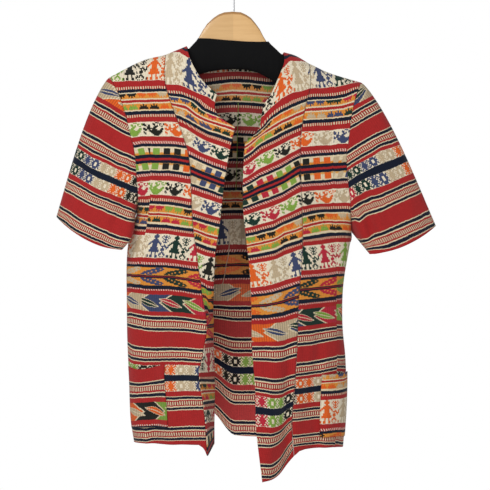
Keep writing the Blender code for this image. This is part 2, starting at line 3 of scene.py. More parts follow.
import bmesh
import bpy
import numpy as np
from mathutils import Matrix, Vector


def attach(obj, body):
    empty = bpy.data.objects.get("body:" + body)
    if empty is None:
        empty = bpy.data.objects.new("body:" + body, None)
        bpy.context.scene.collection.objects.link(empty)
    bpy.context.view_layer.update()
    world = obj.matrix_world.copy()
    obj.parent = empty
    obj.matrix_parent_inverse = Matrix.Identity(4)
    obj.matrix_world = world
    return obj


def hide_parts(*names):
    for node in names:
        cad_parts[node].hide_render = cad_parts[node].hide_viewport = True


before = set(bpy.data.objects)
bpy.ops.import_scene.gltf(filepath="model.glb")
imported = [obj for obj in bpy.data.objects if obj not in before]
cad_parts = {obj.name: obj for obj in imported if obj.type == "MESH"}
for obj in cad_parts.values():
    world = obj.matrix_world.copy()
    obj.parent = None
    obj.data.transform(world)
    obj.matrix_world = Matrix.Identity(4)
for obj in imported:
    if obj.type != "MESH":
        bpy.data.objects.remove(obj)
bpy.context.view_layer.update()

print("frame loaded")

# The front faces -Y and the wearer's right is -X. Sizes are in metres unless a table says mm.
millimetre = 0.001
bandUnit = 0.00165  # one step of the stripe levels on the cloth

# Small helpers for node trees
def addNode(tree, kind, **settings):
    node = tree.nodes.new(kind)
    for name, value in settings.items():
        setattr(node, name, value)
    return node


def feed(tree, socket, value):
    if isinstance(value, bpy.types.NodeSocket):
        tree.links.new(value, socket)
    else:
        socket.default_value = value


def calc(tree, operation, *values):
    node = addNode(tree, "ShaderNodeMath", operation=operation)
    for socket, value in zip(node.inputs, values):
        feed(tree, socket, value)
    return node.outputs[0]


def times(tree, first, second):
    return calc(tree, "MULTIPLY", first, second)


def plus(tree, first, second):
    return calc(tree, "ADD", first, second)


def minus(tree, first, second):
    return calc(tree, "SUBTRACT", first, second)


def divided(tree, first, second):
    return calc(tree, "DIVIDE", first, second)


def lessThan(tree, first, second):
    return calc(tree, "LESS_THAN", first, second)


def blendColours(tree, factor, first, second, mode="MIX"):
    node = addNode(tree, "ShaderNodeMix", data_type="RGBA", blend_type=mode)
    feed(tree, node.inputs[0], factor)
    feed(tree, node.inputs[6], first)
    feed(tree, node.inputs[7], second)
    return node.outputs[2]


def within(tree, value, low, high):
    return times(tree, calc(tree, "GREATER_THAN", value, low), lessThan(tree, value, high))


def stepRamp(tree, factor, stops):
    # stops: (place from 0 to 1, colour), held until the next one
    node = addNode(tree, "ShaderNodeValToRGB")
    ramp = node.color_ramp
    ramp.interpolation = "CONSTANT"
    ramp.elements.remove(ramp.elements[1])
    ramp.elements[0].position = stops[0][0]
    ramp.elements[0].color = stops[0][1]
    for place, colour in stops[1:]:
        ramp.elements.new(place).color = colour
    feed(tree, node.inputs[0], factor)
    return node.outputs[0]


def noise(tree, vector, scale, detail=2.0, roughness=0.5):
    node = addNode(tree, "ShaderNodeTexNoise")
    feed(tree, node.inputs["Vector"], vector)
    node.inputs["Scale"].default_value = scale
    node.inputs["Detail"].default_value = detail
    node.inputs["Roughness"].default_value = roughness
    return node.outputs[0]


def stretched(tree, vector, scale):
    node = addNode(tree, "ShaderNodeMapping", vector_type="POINT")
    feed(tree, node.inputs["Vector"], vector)
    node.inputs["Scale"].default_value = scale
    return node.outputs[0]


def splitPlace(tree, vector):
    node = addNode(tree, "ShaderNodeSeparateXYZ")
    tree.links.new(vector, node.inputs[0])
    return node.outputs


def objectPlace(tree):
    return addNode(tree, "ShaderNodeTexCoord").outputs["Object"]


def softRamp(tree, factor, first, last):
    node = addNode(tree, "ShaderNodeValToRGB")
    node.color_ramp.elements[0].color = first
    node.color_ramp.elements[1].color = last
    feed(tree, node.inputs[0], factor)
    return node.outputs[0]


def addBump(tree, shader, height, strength, distance):
    bump = addNode(tree, "ShaderNodeBump")
    bump.inputs["Strength"].default_value = strength
    bump.inputs["Distance"].default_value = distance
    tree.links.new(height, bump.inputs["Height"])
    tree.links.new(bump.outputs[0], shader.inputs["Normal"])


def plainMaterial(name, colour, rough):
    finish = bpy.data.materials.new(name)
    finish.use_nodes = True
    shader = finish.node_tree.nodes["Principled BSDF"]
    shader.inputs["Base Color"].default_value = (*colour, 1)
    shader.inputs["Roughness"].default_value = rough
    return finish, finish.node_tree, shader


def makeItem(name, mesh):
    # An object from a bmesh, which is freed
    data = bpy.data.meshes.new(name)
    mesh.to_mesh(data)
    mesh.free()
    item = bpy.data.objects.new(name, data)
    bpy.context.scene.collection.objects.link(item)
    return item


# Camera, lights and floor
studio = {
    "camera": (0.01815, -1.9, -0.4551),
    "frameWidth": 0.8085,  # what the camera takes in at the hanger
    "sensor": 36.0,
    "ambient": 0.34,
    "keyPower": 24.0,
    "fillPower": 4.5,
    "frontPower": 6.5,
    "floorHeight": -1.30,
    "floorRadius": 1.85,
}


def makeCamera():
    data = bpy.data.cameras.new("camera")
    data.sensor_width = studio["sensor"]
    data.lens = studio["sensor"] * abs(studio["camera"][1]) / studio["frameWidth"]
    item = bpy.data.objects.new("camera", data)
    item.location = studio["camera"]
    item.rotation_euler = (math.radians(90), 0, 0)
    bpy.context.scene.collection.objects.link(item)
    bpy.context.scene.camera = item


def makeSoftLight(name, place, power, size):
    data = bpy.data.lights.new(name, "AREA")
    data.energy = power
    data.size = size
    item = bpy.data.objects.new(name, data)
    item.location = place
    item.rotation_euler = (Vector((0.02, 0, -0.45)) - Vector(place)).to_track_quat("-Z", "Y").to_euler()
    bpy.context.scene.collection.objects.link(item)


def makeStudio():
    scene = bpy.context.scene
    scene.view_settings.view_transform = "Standard"
    world = bpy.data.worlds.new("studio")
    world.use_nodes = True
    tree = world.node_tree
    seen = tree.nodes["Background"]
    seen.inputs["Color"].default_value = (1, 1, 1, 1)
    seen.inputs["Strength"].default_value = 1.0
    soft = tree.nodes.new("ShaderNodeBackground")
    soft.inputs["Color"].default_value = (0.97, 0.98, 1, 1)
    soft.inputs["Strength"].default_value = studio["ambient"]
    path = tree.nodes.new("ShaderNodeLightPath")
    mix = tree.nodes.new("ShaderNodeMixShader")
    tree.links.new(path.outputs["Is Camera Ray"], mix.inputs[0])
    tree.links.new(soft.outputs[0], mix.inputs[1])
    tree.links.new(seen.outputs[0], mix.inputs[2])
    tree.links.new(mix.outputs[0], tree.nodes["World Output"].inputs[0])
    scene.world = world
    makeSoftLight("keyLight", (-1.1, -1.7, 0.7), studio["keyPower"], 1.0)
    makeSoftLight("fillLight", (1.5, -1.4, -0.1), studio["fillPower"], 1.6)
    makeSoftLight("frontLight", (0.0, -2.1, -0.35), studio["frontPower"], 1.0)
    mesh = bmesh.new()
    bmesh.ops.create_circle(mesh, cap_ends=True, segments=96, radius=studio["floorRadius"])
    bmesh.ops.translate(mesh, verts=mesh.verts[:], vec=(0, 0, studio["floorHeight"]))
    item = makeItem("floor", mesh)
    item.data.materials.append(plainMaterial("paleFloor", (0.86, 0.86, 0.86), 0.9)[0])


makeCamera()
makeStudio()
print("camera and studio ready")


# The woven cloth: thread colours, the order of its bands and its small figures
threads = {
    "red": (0.40, 0.020, 0.020, 1),
    "deepRed": (0.27, 0.016, 0.018, 1),
    "navy": (0.006, 0.010, 0.024, 1),
    "cream": (0.76, 0.63, 0.42, 1),
    "ivory": (0.82, 0.72, 0.54, 1),
    "beige": (0.56, 0.43, 0.27, 1),
    "orange": (0.72, 0.27, 0.040, 1),
    "paleOrange": (0.70, 0.36, 0.10, 1),
    "flame": (0.76, 0.125, 0.018, 1),
    "green": (0.22, 0.37, 0.055, 1),
    "bottle": (0.010, 0.034, 0.024, 1),
    "black": (0.016, 0.016, 0.012, 1),
    "slate": (0.050, 0.065, 0.140, 1),
    "crimson": (0.50, 0.024, 0.045, 1),
    "pink": (0.80, 0.60, 0.48, 1),
}
figureCycle = ("green", "black", "flame", "beige", "slate", "bottle", "crimson")

# Each band: the level where it ends, its thread, and its marks: dots, dashes or ticks woven in, or ribs with
# painted shade in their grooves
bands = (
    (47, "ivory", ""), (52, "red", ""), (54, "navy", ""), (57.5, "red", ""), (81, "ivory", ""),
    (86.8, "red", ""), (89.5, "red", "dots"), (92.4, "navy", ""), (93.6, "cream", ""),
    (98.4, "orange", ""), (99.8, "cream", ""), (102.5, "red", ""), (103.8, "cream", ""),
    (109.8, "orange", ""), (111.4, "cream", ""), (114.9, "navy", ""), (117.6, "red", "dots"),
    (122.5, "red", ""), (136.6, "ivory", ""), (141.3, "red", ""), (144, "red", "dashes"),
    (146.8, "navy", ""), (152.4, "cream", ""), (154.7, "orange", ""), (158, "navy", ""),
    (160.2, "red", ""), (163.3, "navy", ""), (165.2, "paleOrange", ""), (170.8, "cream", ""),
    (173.8, "navy", ""), (176.2, "red", "dashes"), (181, "red", ""), (195.5, "ivory", ""),
    (199, "red", ""), (201.7, "red", "dots"), (205, "navy", ""), (206.2, "cream", ""),
    (213, "orange", ""), (213.9, "cream", ""), (216.2, "red", ""), (217, "cream", ""),
    (223, "orange", ""), (225, "cream", ""), (228.3, "navy", ""), (230.5, "red", "dots"),
    (234.4, "red", ""), (258.4, "ivory", ""), (263.2, "red", ""), (265.3, "red", "dashes"),
    (268, "navy", ""), (275.6, "orange", ""), (276.6, "navy", ""), (277.5, "deepRed", ""),
    (278.6, "navy", ""), (285.7, "orange", ""), (289.2, "navy", ""), (290.6, "red", "dashes"),
    (294.6, "red", ""), (310.7, "cream", "shadedRibs"), (315.3, "red", ""), (316, "cream", ""),
    (318.9, "navy", ""), (320, "cream", ""), (321.6, "red", ""), (325.4, "deepRed", "ticks"),
    (326.3, "red", ""), (327.3, "cream", ""), (330, "navy", ""), (330.9, "cream", ""),
    (347.3, "red", ""), (348.1, "cream", ""), (350.9, "navy", ""), (352.2, "cream", ""),
    (353.5, "red", ""), (356.9, "deepRed", "ticks"), (358.1, "red", ""), (359, "cream", ""),
    (361.6, "navy", ""), (362.3, "cream", ""), (365.6, "red", ""), (375, "ivory", ""),
    (381.6, "navy", ""), (392.3, "ivory", ""), (397.6, "red", ""), (398.3, "cream", ""),
    (400.8, "navy", ""), (401.9, "cream", ""), (403, "red", ""), (406.6, "deepRed", "ticks"),
    (407.7, "red", ""), (408.6, "cream", ""), (411, "navy", ""), (411.7, "cream", ""),
    (427.6, "red", ""), (428.4, "cream", ""), (431.2, "navy", ""), (432.3, "cream", ""),
    (433.7, "red", ""), (437.4, "deepRed", "ticks"), (438.5, "red", ""), (439.4, "cream", ""),
    (441.9, "navy", ""), (442.6, "cream", ""), (480, "red", ""),
)

# Small figures, drawn on squared paper. Each has 16 squares across.
charts = {
    "people": (
        "....##..........",
        "...####...#.#.#.",
        "...####..#.###.#",
        "....##....#.#.#.",
        "...####....###..",
        "..######..#.#.#.",
        ".########..###..",
        "##.####.##......",
        "#..####..#..#..#",
        "...####...####.#",
        "..######...#.###",
        "..######..###.#.",
        ".########.###...",
        ".########..#....",
        "...#..#...###...",
        "...#..#..##.##..",
        "#.##..##.#...#.#",
        "#.##..##..#.#..#",
    ),
    "birds": (
        ".........###....",
        "##.....##...##.#",
        "###.#..##.#.#..#",
        ".##.#...###..##.",
        "...##..###......",
        "##.######....##.",
        "#####.####..###.",
        ".##.##########..",
        "#...##########..",
        "##...########...",
        ".#....######....",
        ".......####.....",
    ),
    "squares": (
        "..#####...#####.",
        "..#####...#####.",
        "..#####...#####.",
        "..#####...#####.",
    ),
    "fans": (
        "...#.......#....",
        ".#.#.#...#.#.#..",
        ".#####...#####..",
        "#######.#######.",
        "#######.#######.",
    ),
    "leaves": (
        "..........#####.",
        ".......######.##",
        "....######.####.",
        "..#####.#####...",
        ".####.#####.....",
        "###.####........",
    ),
    "flowers": (
        "..####..#.####.#",
        "#.####.###.##.##",
        "########.######.",
        ".##..##.#.####.#",
        "###..###.######.",
        "###..###.######.",
        ".##..##.#.####.#",
        "########.######.",
        "#.####.###.##.##",
        "..####..#.####.#",
    ),
}

# Figures on the bands: chart, width of a repeat in levels, and per band its start, end, shift and turn
figures = (
    ("people", 22.5, ((58, 81, 0, 0), (234.6, 258.2, 0, 0))),
    ("birds", 21.0, ((123.0, 136.2, 0, 0), (181.5, 195.2, 0, 0))),
    ("squares", 22.0, ((148.4, 154.6, 0, 0), (163.5, 169.8, 0, 0))),
    ("fans", 21.0, ((93.7, 98.3, 1, 1), (104.0, 109.7, 0, 0), (206.6, 212.8, 1, 1), (217.2, 222.8, 0, 0))),
    ("leaves", 25.0, ((268.3, 275.5, 0, 0), (278.7, 285.6, 0, 1))),
    ("flowers", 21.0, ((365.8, 374.9, 0, 0), (381.8, 392.2, 0, 1))),
)
# The rows of figures that lie apart: first and last level of each
figureRows = (
    (47, 81), (93.7, 109.7), (123, 136.2), (148.4, 169.8), (181.5, 195.2), (206.6, 222.8), (234.6, 258.2),
    (268.3, 285.6), (294.6, 310.7), (365.8, 392.2),
)


# Ticks, dashes and arrowheads, in stripe levels
weaving = {
    "tickWidth": 2.35, "tickShare": 0.46, "dashWidth": 2.6, "dashSlant": 5.5,
    "arrowMiddle": 302.6, "arrowHalf": 8.0, "arrowLength": 25.0,
}


def bandStops(pick, perRamp=15):
    # The bands cut into short ramps, each a list of (place, colour) with its first and last level
    starts = [0.0] + [band[0] for band in bands[:-1]]
    for first in range(0, len(bands), perRamp):
        group = bands[first:first + perRamp]
        low, high = starts[first], group[-1][0]
        stops = [((start - low) / (high - low), pick(band)) for start, band in zip(starts[first:], group)]
        yield low, high, stops


def bandLookup(tree, level, pick):
    found = None
    for low, high, stops in bandStops(pick):
        share = divided(tree, minus(tree, level, low), high - low)
        here = stepRamp(tree, share, stops)
        if found is not None:
            here = blendColours(tree, calc(tree, "GREATER_THAN", level, low), found, here)
        found = here
    return found


def chartMask(tree, chart, along, row):
    # 1 where the chart has a thread: each row of squares is kept as one number in a ramp
    rows = charts[chart]
    worth = [int(line.replace("#", "1").replace(".", "0"), 2) / 65536 for line in rows]
    stops = [(i / len(rows), (value, value, value, 1)) for i, value in enumerate(worth)]
    whole = calc(tree, "FLOOR", times(tree, row, len(rows)))
    middle = divided(tree, plus(tree, whole, 0.5), len(rows))
    split = addNode(tree, "ShaderNodeSeparateColor")
    tree.links.new(stepRamp(tree, middle, stops), split.inputs[0])
    number = plus(tree, times(tree, split.outputs[0], 65536), 0.5)
    square = calc(tree, "FLOOR", times(tree, calc(tree, "FRACT", along), 16))
    power = calc(tree, "POWER", 2, minus(tree, 15, square))
    halved = divided(tree, calc(tree, "FLOOR", divided(tree, number, power)), 2)
    return calc(tree, "GREATER_THAN", calc(tree, "FRACT", halved), 0.25)


def cycleColour(tree, count):
    # The figures change colour from one repeat to the next
    many = len(figureCycle)
    place = divided(tree, plus(tree, calc(tree, "FLOORED_MODULO", count, many), 0.5), many)
    return stepRamp(tree, place, [(i / many, threads[name]) for i, name in enumerate(figureCycle)])


def wovenPattern():
    tree = bpy.data.node_groups.new("wovenPattern", "ShaderNodeTree")
    for name in ("Across", "Level", "Along"):
        tree.interface.new_socket(name=name, in_out="INPUT", socket_type="NodeSocketFloat")
    tree.interface.new_socket(name="Colour", in_out="OUTPUT", socket_type="NodeSocketColor")
    for name in ("Raised", "Ribs"):
        tree.interface.new_socket(name=name, in_out="OUTPUT", socket_type="NodeSocketFloat")
    given = addNode(tree, "NodeGroupInput")
    made = addNode(tree, "NodeGroupOutput")
    across, level, figureAlong = (given.outputs[name] for name in ("Across", "Level", "Along"))
    colour = bandLookup(tree, level, lambda band: threads[band[1]])
    kinds = {"": (0, 0, 0, 1), "dots": (1, 0, 0, 1), "ticks": (1, 0, 0, 1), "dashes": (0, 1, 0, 1),
             "shadedRibs": (0, 0, 1, 1)}
    split = addNode(tree, "ShaderNodeSeparateColor")
    tree.links.new(bandLookup(tree, level, lambda band: kinds[band[2]]), split.inputs[0])
    fine = calc(tree, "FRACT", divided(tree, across, weaving["tickWidth"]))
    tick = times(tree, split.outputs[0], lessThan(tree, fine, weaving["tickShare"]))
    colour = blendColours(tree, tick, colour, threads["cream"])
    slant = divided(tree, across, weaving["dashWidth"])
    slant = minus(tree, slant, divided(tree, level, weaving["dashSlant"]))
    dash = times(tree, split.outputs[1], lessThan(tree, calc(tree, "FRACT", slant), weaving["tickShare"]))
    colour = blendColours(tree, dash, colour, threads["pink"])

    # Arrowheads, each with a slanting leaf of the next colour
    off = divided(tree, minus(tree, level, weaving["arrowMiddle"]), weaving["arrowHalf"])
    place = divided(tree, figureAlong, weaving["arrowLength"])
    reach = minus(tree, place, times(tree, calc(tree, "ABSOLUTE", off), 0.5))
    arrows = cycleColour(tree, plus(tree, calc(tree, "FLOOR", reach), 4))
    edge = lessThan(tree, calc(tree, "FRACT", reach), 0.09)
    arrows = blendColours(tree, edge, arrows, threads["cream"])
    along = calc(tree, "FRACT", place)
    spine = minus(tree, times(tree, along, 0.9), 0.45)
    away = calc(tree, "ABSOLUTE", minus(tree, off, spine))
    swell = times(tree, calc(tree, "SINE", times(tree, along, math.pi)), 0.36)
    border = lessThan(tree, away, plus(tree, swell, 0.05))
    arrows = blendColours(tree, border, arrows, threads["cream"])
    leaf = cycleColour(tree, plus(tree, calc(tree, "FLOOR", place), 5))
    arrows = blendColours(tree, lessThan(tree, away, swell), arrows, leaf)
    arrows = blendColours(tree, lessThan(tree, away, 0.05), arrows, threads["cream"])
    # Painted shade: the rib grooves of the arrowhead band are blended towards black; the same stripes are
    # lowered in the bump
    shadedRibs = times(tree, split.outputs[2], lessThan(tree, fine, 0.3))
    arrows = blendColours(tree, times(tree, shadedRibs, 0.35), arrows, threads["black"])
    colour = blendColours(tree, split.outputs[2], colour, arrows)

    raised = plus(tree, tick, dash)
    for chart, width, places in figures:
        row, along, there = 0.0, divided(tree, figureAlong, width), None
        for low, high, shift, turned in places:
            here = within(tree, level, low, high)
            share = divided(tree, minus(tree, level, low), high - low)
            share = minus(tree, 1.0, share) if turned else share
            row = plus(tree, row, times(tree, here, share))
            along = plus(tree, along, times(tree, here, shift))
            there = here if there is None else plus(tree, there, here)
        count = calc(tree, "FLOOR", along)
        mask = times(tree, there, chartMask(tree, chart, along, row))
        colour = blendColours(tree, mask, colour, cycleColour(tree, count))
        raised = plus(tree, raised, mask)
    tree.links.new(colour, made.inputs["Colour"])
    tree.links.new(raised, made.inputs["Raised"])
    tree.links.new(shadedRibs, made.inputs["Ribs"])
    return tree


clothLook = {
    "rough": 0.92, "sheen": 0.12, "fade": 0.20, "streak": 0.17, "slub": 0.62, "rib": 0.045,
    "ribWidth": 0.0037, "warpWidth": 0.0011, "weftWidth": 0.0009,
    "threadDepth": 0.00024, "figureDepth": 0.00034,
    # Painted light and shade on the reverse: darker near the shoulders, lighter towards the hem
    "paintedLightFrom": 0.33, "paintedLightTo": 0.64,  # metres down the cloth between which the reverse gets lighter
}


def wovenMaterial(name, pattern, paintedLightSpan, muted):
    # The span of lightness down the cloth is painted light and shade, not a colour of the cloth
    finish, tree, shader = plainMaterial(name, (0.5, 0.1, 0.1), clothLook["rough"])
    uv = addNode(tree, "ShaderNodeUVMap", uv_map="weave").outputs[0]
    wobble = times(tree, minus(tree, noise(tree, uv, 60.0, 2.0), 0.5), 0.9)
    fray = minus(tree, noise(tree, stretched(tree, uv, (760, 90, 1)), 1.0, 1.0), 0.5)
    wobble = plus(tree, wobble, times(tree, fray, 1.5))
    acrossPlace, downPlace = splitPlace(tree, uv)[:2]
    weave = addNode(tree, "ShaderNodeGroup", node_tree=pattern)
    figurePlace = splitPlace(tree, addNode(tree, "ShaderNodeUVMap", uv_map="figures").outputs[0])[0]
    feed(tree, weave.inputs["Along"], divided(tree, figurePlace, bandUnit))
    feed(tree, weave.inputs["Across"], divided(tree, acrossPlace, bandUnit))
    feed(tree, weave.inputs["Level"], plus(tree, divided(tree, downPlace, bandUnit), wobble))
    patches = noise(tree, uv, 14.0, 3.0)
    weft = noise(tree, stretched(tree, uv, (60, 1400, 1)), 1.0, 2.0, 0.7)
    warp = noise(tree, stretched(tree, uv, (1300, 30, 1)), 1.0, 2.0, 0.7)
    light = plus(tree, 1.0 - clothLook["fade"] / 2, times(tree, patches, clothLook["fade"]))
    streaks = times(tree, minus(tree, plus(tree, weft, warp), 1.0), clothLook["streak"] * 3)
    slub = minus(tree, noise(tree, stretched(tree, uv, (420, 560, 1)), 1.0, 2.0, 0.65), 0.5)
    rib = calc(tree, "SINE", times(tree, acrossPlace, 2 * math.pi / clothLook["ribWidth"]))
    grainy = plus(tree, times(tree, slub, clothLook["slub"]), times(tree, rib, clothLook["rib"]))
    streaks = plus(tree, streaks, grainy)
    # Painted light and shade: the lightness is scaled down the cloth; the reverse is darker at the shoulders
    # and lighter towards the hem
    paintedLightRamp = addNode(tree, "ShaderNodeMapRange")  # lightness from the shoulders down to the hem
    limits = (clothLook["paintedLightFrom"], clothLook["paintedLightTo"], *paintedLightSpan)
    for field, number in zip(("From Min", "From Max", "To Min", "To Max"), limits):
        paintedLightRamp.inputs[field].default_value = number
    tree.links.new(downPlace, paintedLightRamp.inputs["Value"])
    light = times(tree, plus(tree, light, streaks), paintedLightRamp.outputs[0])
    shade = addNode(tree, "ShaderNodeHueSaturation")
    shade.inputs["Saturation"].default_value = muted
    feed(tree, shade.inputs["Value"], light)
    feed(tree, shade.inputs["Color"], weave.outputs["Colour"])
    tree.links.new(shade.outputs[0], shader.inputs["Base Color"])
    shader.inputs["Sheen Weight"].default_value = clothLook["sheen"]
    shader.inputs["Specular IOR Level"].default_value = 0.15
    warps = calc(tree, "SINE", times(tree, acrossPlace, math.pi / clothLook["warpWidth"]))
    wefts = calc(tree, "SINE", times(tree, downPlace, math.pi / clothLook["weftWidth"]))
    knots = times(tree, calc(tree, "ABSOLUTE", warps), calc(tree, "ABSOLUTE", wefts))
    height = times(tree, plus(tree, knots, weft), clothLook["threadDepth"])
    height = plus(tree, height, times(tree, weave.outputs["Raised"], clothLook["figureDepth"]))
    height = minus(tree, height, times(tree, weave.outputs["Ribs"], clothLook["figureDepth"]))
    addBump(tree, shader, height, 0.6, 1.0)
    return finish


pattern = wovenPattern()
clothFace = wovenMaterial("wovenFace", pattern, (1.0, 1.0), 1.0)
# The reverse: muted, with painted shade near the shoulders and painted light towards the hem
clothBack = wovenMaterial("wovenReverse", pattern, (0.85, 1.65), 0.94)
print("woven cloth ready")


